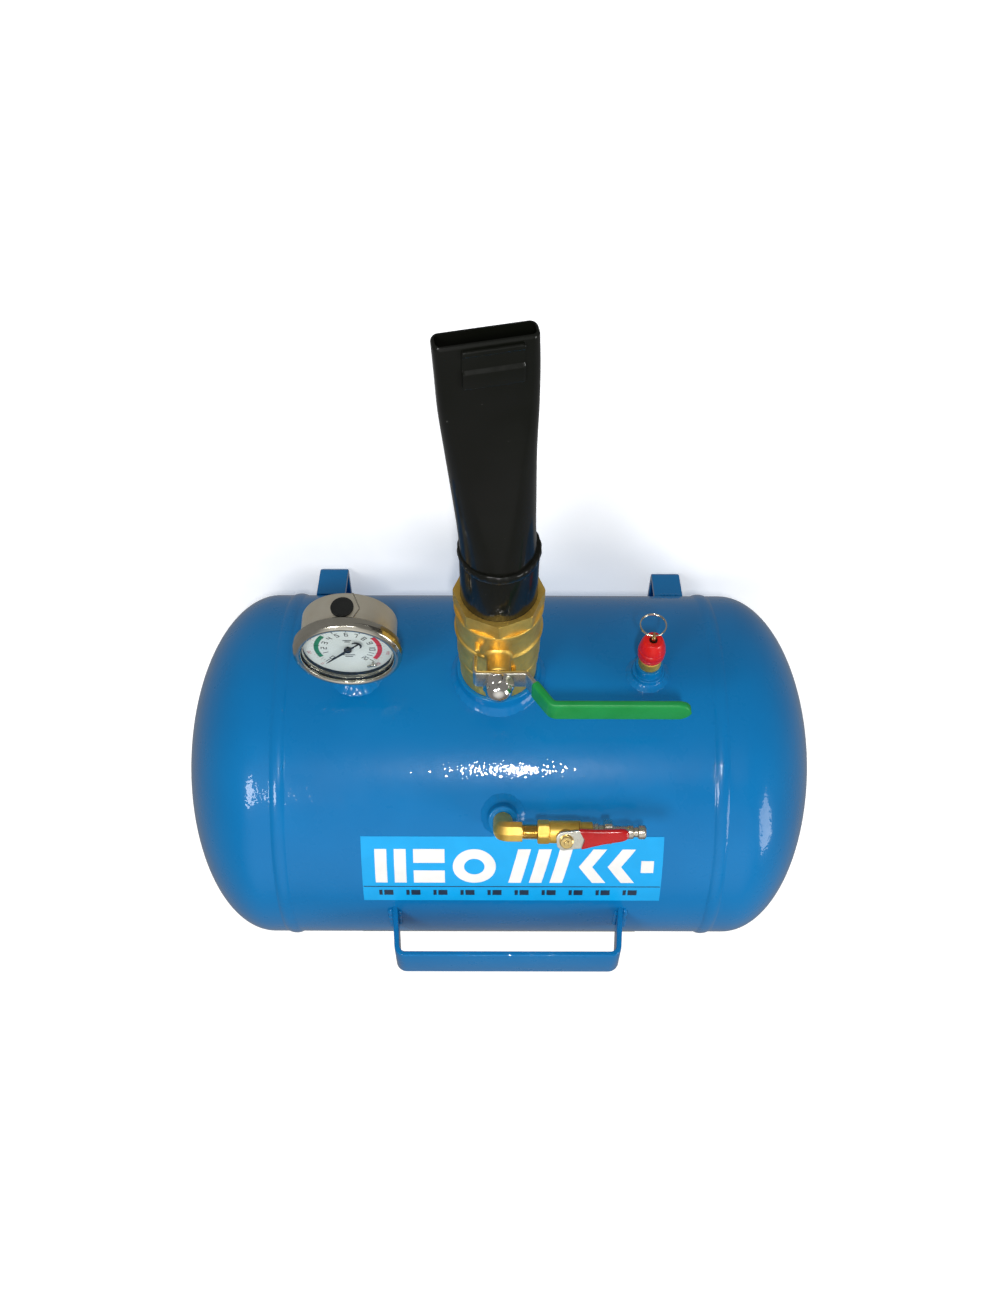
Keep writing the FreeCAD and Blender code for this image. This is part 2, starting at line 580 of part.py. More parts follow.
plate = slab("lever_plate", "XZ_Plane", lever_band(D.lever_under, D.lever_thick, D.tab_x, D.lever_end_x),
             D.lever_width, midplane=True)
end_x = DIMS["lever_end_x"]
tab_x = DIMS["tab_x"]
bend_zones = (DIMS["lever_bend_x"], DIMS["lever_top_x"])
soften(plate, 6.5, lambda e: runs_along(e, Z_AXIS) and abs(middle(e).x - end_x) < 0.1)
soften(plate, 2.0, lambda e: runs_along(e, Y_AXIS) and min(abs(middle(e).x - x) for x in bend_zones) < 2)
tab = slab("lever_tab", "XZ_Plane", [
    (D.tab_x - 2.5, D.tab_low), (D.tab_x, D.tab_low), (D.tab_x, D.lever_under + D.lever_thick),
    (D.tab_x - 2.5, D.lever_under + D.lever_thick),
], D.lever_width, midplane=True)
lever_hole = box("lever_hole", (D.stem_square + 0.04, D.stem_square + 0.04, 20), (0, 0, D.lever_under - 5))
sub_part(cut("lever", fused("lever_blank", [plate, tab]), [lever_hole]), "valve_lever", LEVER_AT)

sleeve_over = (D.grip_thick - D.lever_thick) / 2
sleeve = slab("sleeve", "XZ_Plane", lever_band(D.lever_under - sleeve_over, D.grip_thick, D.tab_x,
                                               D.lever_end_x - 1.6), D.grip_width, midplane=True)
sleeve_end = end_x - 1.6
soften(sleeve, 7.2, lambda e: runs_along(e, Z_AXIS) and abs(middle(e).x - sleeve_end) < 0.1)
soften(sleeve, 3.0, lambda e: runs_along(e, Y_AXIS) and min(abs(middle(e).x - x) for x in bend_zones) < 2)
soften(sleeve, 1.5, lambda e: middle(e).x < 10 and (abs(abs(middle(e).y) - 8.2) < 0.05
                                                    or (middle(e).x < sleeve_end + 7.5
                                                        and not runs_along(e, Z_AXIS))))
sleeve_zone = box("sleeve_zone", (100, 40, 60), (-D.sleeve_from - 50, 0, D.lever_under - 10))
sub_part(cut("grip", common("sleeve_cut", sleeve, sleeve_zone), [plate]), "lever_grip", LEVER_AT)

lever_top = D.lever_under + D.lever_thick
washer = turned("washer", [
    (D.stem_square * 0.72, lever_top), (8.6, lever_top), (9.2, lever_top + 0.4), (9.2, lever_top + 1.0),
    (8.7, lever_top + 1.5), (D.stem_square * 0.72, lever_top + 1.5),
])
sub_part(washer, "lever_washer", LEVER_AT)
nut_low = lever_top + 1.5
nut_hex = prism("nut_hex", 6, 10.2, 5.0, (0, 0, nut_low))
nut_dome = turned("nut_dome", [
    (0, nut_low), (11, nut_low), (11, nut_low + 3.7), (9.6, nut_low + 4.5), (8.5, nut_low + 5.0),
    (8.35, nut_low + 7.4), (7.3, nut_low + 10.1), (5.1, nut_low + 11.9), (2.4, nut_low + 12.8), (0, nut_low + 13),
])
nut_low_zone = cylinder("nut_low_zone", 12, 5.0, (0, 0, nut_low))
nut_blank = fused("nut_blank", [common("nut_low", common("nut_hex_cut", nut_hex, nut_dome), nut_low_zone),
                                cut("nut_high", nut_dome, [nut_low_zone])])
nut_bore = cylinder("nut_bore", D.stem_r + D.slip_gap, D.stem_top - nut_low + 0.4, (0, 0, nut_low))
sub_part(cut("lever_nut_cut", nut_blank, [nut_bore]), "lever_nut", LEVER_AT)

# ---------------------------------------------------------------- blow barrel
nipple = turned("nipple", [
    (D.pipe_r - D.pipe_wall, D.nipple_stop), (D.pipe_r - 0.8, D.nipple_stop), (D.pipe_r, D.nipple_stop + 1),
    (D.pipe_r, D.pipe_end), (D.pipe_r - D.pipe_wall, D.pipe_end),
])
sub_part(nipple, "barrel_nipple", on_axis(D.valve_x), FORWARD)


def rounded_section(body, station, width, height, corner, shift, roll):
    """Rounded rectangle across the barrel, rolled about it and moved sideways."""
    sketch = sketch_on(body, "XY_Plane", station)
    turn = ROT(Z_AXIS, roll)
    offset = sketch.AttachmentOffset
    sketch.AttachmentOffset = FreeCAD.Placement(V3(shift, 0, offset.Base.z), turn)
    sketch.setExpression("AttachmentOffset.Base.z", as_dim(station).text)
    a = width / 2
    b = height / 2
    diagonal = corner * (1 - math.sqrt(0.5))
    corners = [(1, 1), (-1, 1), (-1, -1), (1, -1)]
    for i, (sx, sy) in enumerate(corners):
        along = [V3(sx * a, sy * (b - corner), 0), V3(sx * (a - corner), sy * b, 0)]
        if i % 2:
            along.reverse()
        bulge = V3(sx * (a - diagonal), sy * (b - diagonal), 0)
        sketch.addGeometry(Part.Arc(along[0], bulge, along[1]))
        nx, ny = corners[(i + 1) % 4]
        if i % 2:
            following = V3(nx * a, ny * (b - corner), 0)
        else:
            following = V3(nx * (a - corner), ny * b, 0)
        sketch.addGeometry(Part.LineSegment(along[1], following))
    return sketch


# station, width, height, corner radius, sideways shift, roll
BARREL_STATIONS = [
    (D.tube_start, 46.2, 46.2, 22.4, 0.4, 0.0),
    (D.tube_start + 22, 46.0, 40.0, 19.2, 1.6, 3.0),
    (D.tube_start + 52, 47.6, 31.0, 14.6, 3.1, 6.0),
    (D.tube_start + 92, 50.5, 21.5, 9.6, 5.1, 9.5),
    (D.tube_start + 126, 53.8, 14.6, 6.2, 6.2, 11.5),
    (D.tube_start + 152, 54.3, 12.4, 4.6, 6.9, 11.5),
    (D.tube_end, 54.3, 12.2, 4.4, 7.8, 11.5),
]


def barrel_form(stem, inset):
    body = new_body(stem)
    sketches = []
    last = len(BARREL_STATIONS) - 1
    for i, (station, width, height, corner, shift, roll) in enumerate(BARREL_STATIONS):
        if inset and i in (0, last):
            station = station + (1 if i else -1)
        sketches.append(rounded_section(body, station, width - 2 * inset, height - 2 * inset,
                                        corner - inset, shift, roll))
    loft = body.newObject("PartDesign::AdditiveLoft", fresh(stem + "_loft"))
    loft.Profile = (sketches[0], [""])
    loft.Sections = sketches[1:]
    loft.Ruled = False
    body.Tip = loft
    return body


barrel_outside = barrel_form("barrel_outside", 0)
barrel = cut("barrel", barrel_outside, [barrel_form("barrel_inside", DIMS["tube_wall"])])
sub_part(barrel, "nozzle_tube", on_axis(D.valve_x), FORWARD)

ring_bead = turned("ring_bead", [
    (D.pipe_r - 2.3, D.bead_v - 2), (D.pipe_r, D.bead_v - 2), (D.pipe_r, D.bead_v - 3.4),
    (D.pipe_r + 0.5, D.bead_v - 2.4), (D.pipe_r + 0.9, D.bead_v), (D.pipe_r + 0.5, D.bead_v + 2.2),
    (D.pipe_r - 0.2, D.bead_v + 3.2), (D.pipe_r - 2.3, D.bead_v + 3.6),
])
sub_part(cut("barrel_bead", ring_bead, [barrel_outside]), "barrel_weld", on_axis(D.valve_x), FORWARD)

stop_plate = slab("stop_plate", "YZ_Plane", [
    (4.0, D.tube_end - 28), (8.6, D.tube_end - 28), (8.6, D.tube_end - 17), (7.0, D.tube_end - 15.6),
    (7.0, D.tube_end - 7), (8.2, D.tube_end - 5.6), (8.2, D.tube_end - 2.6), (4.0, D.tube_end - 2.6),
], 32, midplane=True)
place(stop_plate, (4.9, -0.5, 0), ROT(Z_AXIS, BARREL_STATIONS[-1][5]))
sub_part(cut("rim_stop_cut", stop_plate, [barrel_outside]), "rim_stop", on_axis(D.valve_x), FORWARD)

# ---------------------------------------------------------------- pressure gauge
GAUGE_AT = (D.gauge_x, D.axis_y - D.gauge_v, D.axis_z)
SOCKET = ROT(X_AXIS, -90)          # local z runs from the gauge back to the tank
case_in = D.case_r - D.case_wall
cup = turned("case_cup", [
    (0, D.case_back), (D.case_r - 2, D.case_back), (D.case_r - 0.6, D.case_back + 0.6),
    (D.case_r, D.case_back + 2), (D.case_r, D.case_rim), (case_in, D.case_rim),
    (case_in, D.case_back + 2), (case_in - 1, D.case_back + D.case_wall), (0, D.case_back + D.case_wall),
])
plug_side = math.sin(math.radians(DIMS["plug_angle"]))
plug_out = math.cos(math.radians(DIMS["plug_angle"]))
plug_turn = ROT(Z_AXIS, DIMS["plug_angle"]).multiply(ROT(X_AXIS, 90))
plug_hole = cylinder("plug_hole", D.plug_r - 1.6, 40, (0, 0, D.plug_h), plug_turn)
socket_hole = cylinder("socket_hole", D.gauge_thread_r - 3.3 + D.slip_gap, 40, (0, 0, 0), SOCKET)
sub_part(cut("case", cup, [plug_hole, socket_hole]), "gauge_case", GAUGE_AT)

bezel = turned("bezel_ring", [
    (D.case_r + 0.02, D.bezel_front - 8.6), (D.bezel_r - 0.8, D.bezel_front - 8.6),
    (D.bezel_r, D.bezel_front - 7.8), (D.bezel_r, D.bezel_front - 3.6), (D.bezel_r - 0.5, D.bezel_front - 1.9),
    (D.bezel_r - 1.5, D.bezel_front - 0.6), (D.bezel_r - 2.8, D.bezel_front), (D.bezel_r - 4.6, D.bezel_front),
    (D.bezel_r - 5.4, D.bezel_front - 0.6), (D.bezel_r - 5.6, D.bezel_front - 1.8),
    (D.case_r + 0.02, D.bezel_front - 1.8),
])
sub_part(bezel, "gauge_bezel", GAUGE_AT)
glass_top = D.bezel_front - 1.8
sub_part(turned("glass", [(0, glass_top - 2), (D.lens_r, glass_top - 2), (D.lens_r, glass_top), (0, glass_top)]),
         "gauge_lens", GAUGE_AT)
seal = turned("seal_ring", [
    (D.dial_r - 0.8, D.dial_face), (case_in - 0.02, D.dial_face), (case_in - 0.02, D.case_rim),
    (D.case_r - 0.1, D.case_rim), (D.case_r - 0.1, glass_top - 2), (D.dial_r - 0.8, glass_top - 2),
])
sub_part(seal, "gauge_seal", GAUGE_AT)
dial = turned("dial_disc", [
    (1.6, D.dial_face - 0.9), (D.dial_r, D.dial_face - 0.9), (D.dial_r, D.dial_face), (1.6, D.dial_face),
])
sub_part(dial, "gauge_dial", GAUGE_AT)

needle_low = D.dial_face + 1.4
blade = slab("needle", "XY_Plane", [
    (0, -1.1), (D.pointer_len - 3, -0.6), (D.pointer_len, 0), (D.pointer_len - 3, 0.6), (0, 1.1),
    (-6.5, 1.1), (-10.0, 2.0), (-10.0, -2.0), (-6.5, -1.1),
], 0.5, height=needle_low + 0.4)
hub = turned("needle_hub", [
    (0, D.dial_face - 9), (D.arbor_r, D.dial_face - 9), (D.arbor_r, needle_low), (2.8, needle_low),
    (2.8, needle_low + 1.4), (2.2, needle_low + 1.9), (0, needle_low + 1.9),
])
sub_part(fused("pointer", [blade, hub]), "gauge_pointer", GAUGE_AT, ROT(Z_AXIS, 45))

bridge = box("movement_bridge", (18, 22, 4.6), (0, 3, D.dial_face - 8.6))
foot_block = box("movement_foot", (10, 8, 10.2), (0, 15.05, D.dial_face - 13.8))
pillars = [cylinder("pillar", 1.5, 3.1, (x, y, D.dial_face - 4.0)) for x, y in ((-7, -4), (7, -4), (0, 11))]
arbor_hole = cylinder("arbor_hole", D.arbor_r + 0.05, 20, (0, 0, D.dial_face - 15))
movement = cut("movement", fused("movement_blank", [bridge, foot_block] + pillars), [arbor_hole])
sub_part(movement, "gauge_movement", GAUGE_AT)

socket_block = box("socket_block", (12, 9.35, 9.0), (0, 23.725, D.case_back + D.case_wall + 1.0))
socket_neck = cylinder("socket_neck", D.gauge_thread_r - 3.3, 6, (0, 28, 0), SOCKET)
hex_start = D.case_r + 0.02
hex_length = D.gauge_v - D.gauge_boss_top - hex_start
socket_hex = prism("socket_hex", 6, 8.1, hex_length, (0, hex_start, 0), SOCKET)
socket_thread = cylinder("socket_thread", D.gauge_thread_r, 13, (0, D.gauge_v - D.gauge_boss_top, 0), SOCKET)
socket_bore = cylinder("socket_bore", 1.4, 40, (0, 24, 0), SOCKET)
socket = cut("socket", fused("socket_blank", [socket_block, socket_neck, socket_hex, socket_thread]), [socket_bore])
sub_part(socket, "gauge_socket", GAUGE_AT)
bourdon = primitive("Part::Torus", "bourdon", {"Radius1": D.bourdon_r, "Radius2": D.bourdon_tube}, (0, 0, 0),
                    ROT(Z_AXIS, 100))
bourdon.Angle3 = 270
sub_part(cut("bourdon_cut", bourdon, [socket_block]), "bourdon_tube", GAUGE_AT)

case_round = cylinder("case_round", D.case_r, 60, (0, 0, -30))
flange = cylinder("plug_flange", D.plug_r, 3.6, (0, 0, 0))
place(flange, (28.6 * plug_side, -28.6 * plug_out, D.plug_h), plug_turn)
plug_stem = cylinder("plug_stem", D.plug_r - 1.62, 3, (0, 0, 0))
place(plug_stem, (28.5 * plug_side, -28.5 * plug_out, D.plug_h), plug_turn)
sub_part(fused("plug", [cut("plug_cap", flange, [case_round]), plug_stem]), "fill_plug", GAUGE_AT)

# ---------------------------------------------------------------- safety valve
root_v = D.cap_root_v
safety_body = turned("safety_base", [
    (2.0, 124), (5.6, 124), (D.safety_thread_r, 124.6), (D.safety_thread_r, D.safety_boss_top),
    (7.0, D.safety_boss_top), (7.6, D.safety_boss_top + 0.6), (7.6, root_v), (5.6, root_v), (5.6, root_v + 12),
    (4.1, root_v + 12), (4.1, 128), (2.0, 128),
])
sub_part(safety_body, "safety_body", on_axis(D.safety_x), FORWARD)
cap = turned("safety_cap_turned", [
    (7.4, root_v), (8.3, root_v + 2.2), (8.7, root_v + 4.0), (8.45, root_v + 4.4), (8.45, root_v + 5.0),
    (D.cap_r - 0.1, root_v + 5.4), (D.cap_r, root_v + 7.5), (D.cap_r - 0.1, root_v + 10.2),
    (8.5, root_v + 10.7), (8.5, root_v + 11.3), (8.7, root_v + 11.7), (7.9, root_v + 15.5),
    (6.5, D.cap_face_v - 1), (5.8, D.cap_face_v), (2.7, D.cap_face_v), (2.7, D.cap_face_v - 3),
    (D.rod_r + 0.05, D.cap_face_v - 3), (D.rod_r + 0.05, D.cap_face_v - 5), (5.62, D.cap_face_v - 5),
    (5.62, root_v),
])
sub_part(cap, "safety_cap", on_axis(D.safety_x), FORWARD)
rod = turned("safety_rod", [
    (0, 128.05), (3.6, 128.05), (3.6, 130.5), (D.rod_r, 130.5), (D.rod_r, D.ring_v - 2), (0, D.ring_v - 2),
])
eye = cylinder("rod_eye", D.eye_r, 1.6, (-0.8, 0, D.ring_v), ALONG_X)
eye_hole = cylinder("rod_eye_hole", D.eye_hole, 4, (-2, 0, D.ring_v), ALONG_X)
sub_part(cut("rod_cut", fused("rod_blank", [rod, eye]), [eye_hole]), "safety_stem", on_axis(D.safety_x), FORWARD)
ring = primitive("Part::Torus", "pull_ring_wire", {"Radius1": D.ring_r, "Radius2": D.ring_wire})
sub_part(ring, "pull_ring", (D.safety_x, D.axis_y - D.ring_v, D.axis_z - D.ring_r - 0.4), FORWARD)

# ---------------------------------------------------------------- air inlet
reach = D.inlet_reach
elbow_leg = cylinder("elbow_leg", D.elbow_half + 0.1, reach + D.elbow_half - D.inlet_boss_top,
                     (D.inlet_x, 0, D.inlet_boss_top))
elbow_spigot = cylinder("elbow_spigot", D.inlet_thread_r, 12, (D.inlet_x, 0, D.inlet_boss_top - 12))
MINUS_X = ROT(Y_AXIS, -90)
elbow_run = prism("elbow_run", 8, D.elbow_half * 1.0824, D.elbow_end + D.inlet_x, (D.inlet_x, 0, reach),
                  MINUS_X.multiply(ROT(Z_AXIS, 22.5)))
elbow_thread = cylinder("elbow_thread", D.inlet_thread_r, D.mini_back + 7 - D.elbow_end, (-D.elbow_end, 0, reach),
                        MINUS_X)
elbow_bore_in = cylinder("elbow_bore", D.air_bore_r, reach - 124, (D.inlet_x, 0, 124))
elbow_bore_out = cylinder("elbow_bore", D.air_bore_r, 40, (D.inlet_x + 2, 0, reach), MINUS_X)
elbow = cut("elbow", fused("elbow_blank", [elbow_leg, elbow_spigot, elbow_run, elbow_thread]),
            [elbow_bore_in, elbow_bore_out])
sub_part(elbow, "inlet_elbow", on_axis(0), INLET)

slant = reach * math.sqrt(0.5)
PIPE_AT = (0, D.axis_y - slant, D.axis_z + slant)
MINI_AT = (-D.mini_stem_s, D.axis_y - slant, D.axis_z + slant)
mini_hex = prism("mini_hex", 6, D.mini_hex_r, D.mini_hex_end - D.mini_back, (0, 0, D.mini_back))
mini_round = cylinder("mini_round", D.mini_r, D.mini_body_end - D.mini_hex_end, (0, 0, D.mini_hex_end))
mini_neck = cylinder("mini_neck", 4.0, D.mini_lever_z - 0.5, (0, 0, D.mini_stem_s), ALONG_X)
mini_voids = [
    cylinder("mini_thread", D.inlet_thread_r + D.slip_gap, 8, (0, 0, D.mini_back - 1)),
    cylinder("mini_bore", D.air_bore_r, 20, (0, 0, D.mini_back)),
    cylinder("mini_cavity", D.mini_ball_r + 0.5, 30, (0, 0, D.mini_stem_s - D.mini_ball_r - 0.5)),
    cylinder("mini_stem_bore", D.mini_stem_r + D.stem_gap, 20, (0, 0, D.mini_stem_s), ALONG_X),
]
sub_part(cut("mini_body", fused("mini_blank", [mini_hex, mini_round, mini_neck]), mini_voids),
         "inlet_valve_body", PIPE_AT, PIPE)
mini_cap = turned("mini_cap", [
    (D.air_bore_r, D.mini_stem_s + D.mini_ball_r + 0.5),
    (D.mini_ball_r + 0.48, D.mini_stem_s + D.mini_ball_r + 0.5), (D.mini_ball_r + 0.48, D.mini_body_end),
    (D.mini_cap_r, D.mini_body_end), (D.mini_cap_r, D.mini_cap_end - 0.8), (D.mini_cap_r - 0.8, D.mini_cap_end),
    (5.02, D.mini_cap_end), (5.02, D.mini_body_end + 2.2), (D.air_bore_r, D.mini_body_end + 2.2),
])
sub_part(mini_cap, "inlet_valve_cap", PIPE_AT, PIPE)

LEVER_TURN = MINI.multiply(ROT(Z_AXIS, 6.5))
mini_ball = cut("mini_ball", sphere("mini_ball_solid", D.mini_ball_r), [
    cylinder("mini_ball_bore", D.air_bore_r, 20, (-10, 0, 0), ALONG_X),
    box("mini_ball_slot", (1.7, 20, 5), (0, 0, D.mini_ball_r - 1.6)),
])
sub_part(mini_ball, "inlet_ball", MINI_AT, LEVER_TURN)
mini_stem = fused("mini_stem", [
    common("mini_tang", cylinder("mini_tang_round", D.mini_stem_r, 4, (0, 0, D.mini_ball_r - 1.55)),
           box("mini_tang_flat", (1.65, 20, 4), (0, 0, D.mini_ball_r - 1.55))),
    cylinder("mini_stem_round", D.mini_stem_r, D.mini_lever_z + 4.2 - D.mini_ball_r - 0.1,
             (0, 0, D.mini_ball_r + 0.1)),
])
sub_part(mini_stem, "inlet_stem", MINI_AT, LEVER_TURN)
mini_plate = slab("mini_plate", "XY_Plane", [
    (6.2, -3.6), (6.2, 3.6), (3.6, 6.1), (-7.5, 6.1), (-13, 5.4), (-38, 3.0), (-38, -3.0), (-13, -5.4),
    (-7.5, -6.1), (3.6, -6.1),
], D.mini_lever_thick, height=D.mini_lever_z)
mini_lever = cut("mini_lever", mini_plate, [cylinder("mini_hole", D.mini_stem_r + D.slip_gap, 30)])
sub_part(mini_lever, "inlet_lever", MINI_AT, LEVER_TURN)
mini_sleeve = slab("mini_sleeve", "XY_Plane", [
    (-8.6, -6.9), (-8.6, 6.9), (-14, 6.3), (-36, 4.1), (-39, 3.0), (-40, 1.2), (-40, -1.2), (-39, -3.0),
    (-36, -4.1), (-14, -6.3),
], 3.9, height=D.mini_lever_z - 1.2)
soften(mini_sleeve, 1.1, lambda e: abs(e.Vertexes[0].Z - e.Vertexes[-1].Z) < 0.01 and middle(e).x < -8.7)
sub_part(cut("mini_grip", mini_sleeve, [mini_plate]), "inlet_grip", MINI_AT, LEVER_TURN)
mini_nut_low = D.mini_lever_z + D.mini_lever_thick
mini_nut = cut("mini_nut", prism("mini_nut_hex", 6, 4.5, 3.2, (0, 0, mini_nut_low)),
               [cylinder("mini_nut_bore", D.mini_stem_r + D.slip_gap, 30)])
sub_part(mini_nut, "inlet_nut", MINI_AT, LEVER_TURN)

nose = turned("plug_nose", [
    (D.air_bore_r, D.mini_body_end + 2.2), (5.0, D.mini_body_end + 2.2), (5.0, D.plug_hex_start),
    (4.6, D.plug_hex_start), (4.6, D.plug_hex_end + 1.0), (4.1, D.plug_hex_end + 1.8),
    (4.1, D.plug_end - 12.5), (4.6, D.plug_end - 11.6), (4.6, D.plug_end - 8.4), (3.4, D.plug_end - 7.6),
    (3.4, D.plug_end - 5.6), (4.6, D.plug_end - 4.8), (4.6, D.plug_end - 1.2), (3.6, D.plug_end),
    (D.air_bore_r, D.plug_end),
])
plug_hex = cut("plug_hex_ring", prism("plug_hex", 6, D.plug_hex_r, D.plug_hex_end - D.plug_hex_start,
                                      (0, 0, D.plug_hex_start)),
               [cylinder("plug_hex_bore", D.air_bore_r, 200)])
sub_part(fused("quick_plug_all", [nose, plug_hex]), "quick_plug", PIPE_AT, PIPE)

# ---------------------------------------------------------------- checks and export
doc.recompute()
problems = [obj.Label for obj in doc.Objects if "Invalid" in obj.State or "Error" in obj.State]
for obj in sub_parts:
    if obj.Shape.isNull() or not obj.Shape.isValid() or obj.Shape.Volume <= 0:
        problems.append(obj.Label)
if problems:
    raise RuntimeError("not written, these need a look: " + ", ".join(problems))

os.makedirs("parts", exist_ok=True)
for obj in sub_parts:
    obj.Shape.exportStep(f"parts/{obj.Label}.step")
print(len(sub_parts), "sub-parts written")
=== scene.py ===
import json
import random
from math import acos, atan2, copysign, cos, dist, exp, hypot, pi, radians, sin, sqrt, tan, tanh

import bmesh
import bpy
import numpy as np
from mathutils import Matrix, Vector, noise


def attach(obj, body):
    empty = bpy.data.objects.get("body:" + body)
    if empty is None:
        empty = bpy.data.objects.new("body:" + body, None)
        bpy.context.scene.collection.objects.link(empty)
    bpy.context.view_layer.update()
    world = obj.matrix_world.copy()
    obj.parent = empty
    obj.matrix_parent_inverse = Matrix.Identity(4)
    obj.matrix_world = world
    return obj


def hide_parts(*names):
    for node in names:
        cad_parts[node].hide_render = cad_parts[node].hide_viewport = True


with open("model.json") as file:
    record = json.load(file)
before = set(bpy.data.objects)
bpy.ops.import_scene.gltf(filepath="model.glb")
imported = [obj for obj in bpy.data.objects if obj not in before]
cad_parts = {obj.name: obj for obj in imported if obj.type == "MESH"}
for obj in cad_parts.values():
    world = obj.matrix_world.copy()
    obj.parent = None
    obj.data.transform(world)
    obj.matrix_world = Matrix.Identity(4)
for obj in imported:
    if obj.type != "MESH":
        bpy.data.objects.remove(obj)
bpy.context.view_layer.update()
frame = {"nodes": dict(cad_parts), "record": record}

# Bead seater blaster tank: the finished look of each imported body, the studio and the camera.
# Lengths below are in millimetres, measured from the tank's axis; MM turns them into metres.
# Local "forward" frame: x along the tank, y up, z out of the front (the way the nozzle points).
MM = 0.001
AXIS_Y, AXIS_Z = 155.0, 137.0
TANK_R = 125.0
VALVE_X, GAUGE_X, SAFETY_X, INLET_X = 1.2, 97.0, -100.0, -2.0
BALL_V, OCTAGON_BACK, RIM_V, GAUGE_V = 186.5, 209.6, 222.0, 182.2
SLANT = 158.0 * sqrt(0.5)


def shift(x, y, z):
    return Matrix.Translation((x, y, z))


def rot(degrees, axis):
    return Matrix.Rotation(radians(degrees), 4, axis)


TANK = shift(0, AXIS_Y, AXIS_Z)
FORWARD = rot(90, "X")
INLET = rot(45, "X")
MINI = rot(39, "X")


def forward_at(x):
    return TANK @ shift(x, 0, 0) @ FORWARD


PIPE = TANK @ shift(0, -SLANT, SLANT) @ MINI @ rot(-90, "Y")
MINI_LEVER = TANK @ shift(-42, -SLANT, SLANT) @ MINI @ rot(6.5, "Z")
GAUGE = TANK @ shift(GAUGE_X, -GAUGE_V, 0)
LEVER = TANK @ shift(VALVE_X, -BALL_V, 0)


# ------------------------------------------------------------------ meshes
def piece(name, parts, place, look, body="tank", node=(), sharp=32, smooth=True):
    """One mesh object from (vertices, faces) parts in local millimetres, in place of its CAD node."""
    verts, faces = [], []
    for v, f in parts:
        start = len(verts)
        verts.extend(np.asarray(v, float).tolist())
        faces.extend([tuple(i + start for i in face) for face in f])
    world = Matrix.Scale(MM, 4) @ place
    mesh = bpy.data.meshes.new(name)
    mesh.from_pydata([tuple(world @ Vector(v)) for v in verts], [], faces)
    mesh.validate()
    if smooth:
        mesh.shade_smooth()
        mesh.set_sharp_from_angle(angle=radians(sharp))
    obj = bpy.data.objects.new(name, mesh)
    bpy.context.scene.collection.objects.link(obj)
    mesh.materials.append(MAT[look])
    outward = bmesh.new()
    outward.from_mesh(mesh)
    bmesh.ops.recalc_face_normals(outward, faces=outward.faces)
    outward.to_mesh(mesh)
    outward.free()
    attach(obj, body)
    if node:
        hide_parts(*((node,) if isinstance(node, str) else node))


def moved(part, matrix):
    v, f = part
    return [tuple(matrix @ Vector(p)) for p in v], f


def around(segs):
    """Angles of one full turn."""
    return [2 * pi * k / segs for k in range(segs)]


def circle(r, z, segs):
    return [(r * cos(a), r * sin(a), z) for a in around(segs)]


def waver(x, y, z):
    """Smooth noise between about -1 and 1."""
    return noise.noise(Vector((x, y, z)))


def between(a, b, count):
    """The points that split a straight run into equal steps, without its start."""
    return [(a[0] + (b[0] - a[0]) * k / count, a[1] + (b[1] - a[1]) * k / count) for k in range(1, count + 1)]


def eased(points, radius, steps=4, closed=True):
    """Rounds the corners of an outline. A point may carry its own radius as a third number."""
    out = []
    count = len(points)
    for i, point in enumerate(points):
        p = np.array(point[:2], float)
        want = point[2] if len(point) > 2 else radius
        if (not closed and i in (0, count - 1)) or want <= 0:
            out.append(tuple(p))
            continue
        a = np.array(points[i - 1][:2], float) - p
        b = np.array(points[(i + 1) % count][:2], float) - p
        la, lb = np.linalg.norm(a), np.linalg.norm(b)
        a, b = a / la, b / lb
        cosine = float(np.clip(a @ b, -1, 1))
        half = acos(cosine) / 2
        if half > radians(88):
            out.append(tuple(p))
            continue
        reach = min(want / tan(half), 0.48 * la, 0.48 * lb)
        r = reach * tan(half)
        centre = p + (a + b) / np.linalg.norm(a + b) * (r / sin(half))
        start, end = p + a * reach - centre, p + b * reach - centre
        angle = atan2(start[0] * end[1] - start[1] * end[0], start @ end)
        for k in range(steps + 1):
            t = angle * k / steps
            c, s = cos(t), sin(t)
            out.append((centre[0] + c * start[0] - s * start[1], centre[1] + s * start[0] + c * start[1]))
    return out


def loops(rings, capped=False, wrap=False):
    """Skins a list of equally long point rings."""
    n = len(rings[0])
    verts = [p for ring in rings for p in ring]
    faces = []
    pairs = len(rings) if wrap else len(rings) - 1
    for i in range(pairs):
        a, b = i * n, ((i + 1) % len(rings)) * n
        for k in range(n):
            m = (k + 1) % n
            faces.append((a + k, a + m, b + m, b + k))
    if capped:
        faces.append(tuple(range(n))[::-1])
        faces.append(tuple(range((len(rings) - 1) * n, len(rings) * n)))
    return verts, faces


def lathe(profile, segs=96, radius=0.3, steps=4):
    """Solid of revolution about z from (r, z) corners, corners eased."""
    outline = eased(profile, radius, steps)
    verts, faces, ids = [], [], []
    for r, z in outline:
        if r < 1e-4:
            ids.append([len(verts)] * segs)
            verts.append((0, 0, z))
            continue
        ids.append(list(range(len(verts), len(verts) + segs)))
        verts += circle(r, z, segs)
    count = len(outline)
    for i in range(count):
        a, b = ids[i], ids[(i + 1) % count]
        for k in range(segs):
            m = (k + 1) % segs
            face = []
            for v in (a[k], a[m], b[m], b[k]):
                if v not in face:
                    face.append(v)
            if len(face) > 2:
                faces.append(tuple(face))
    return verts, faces


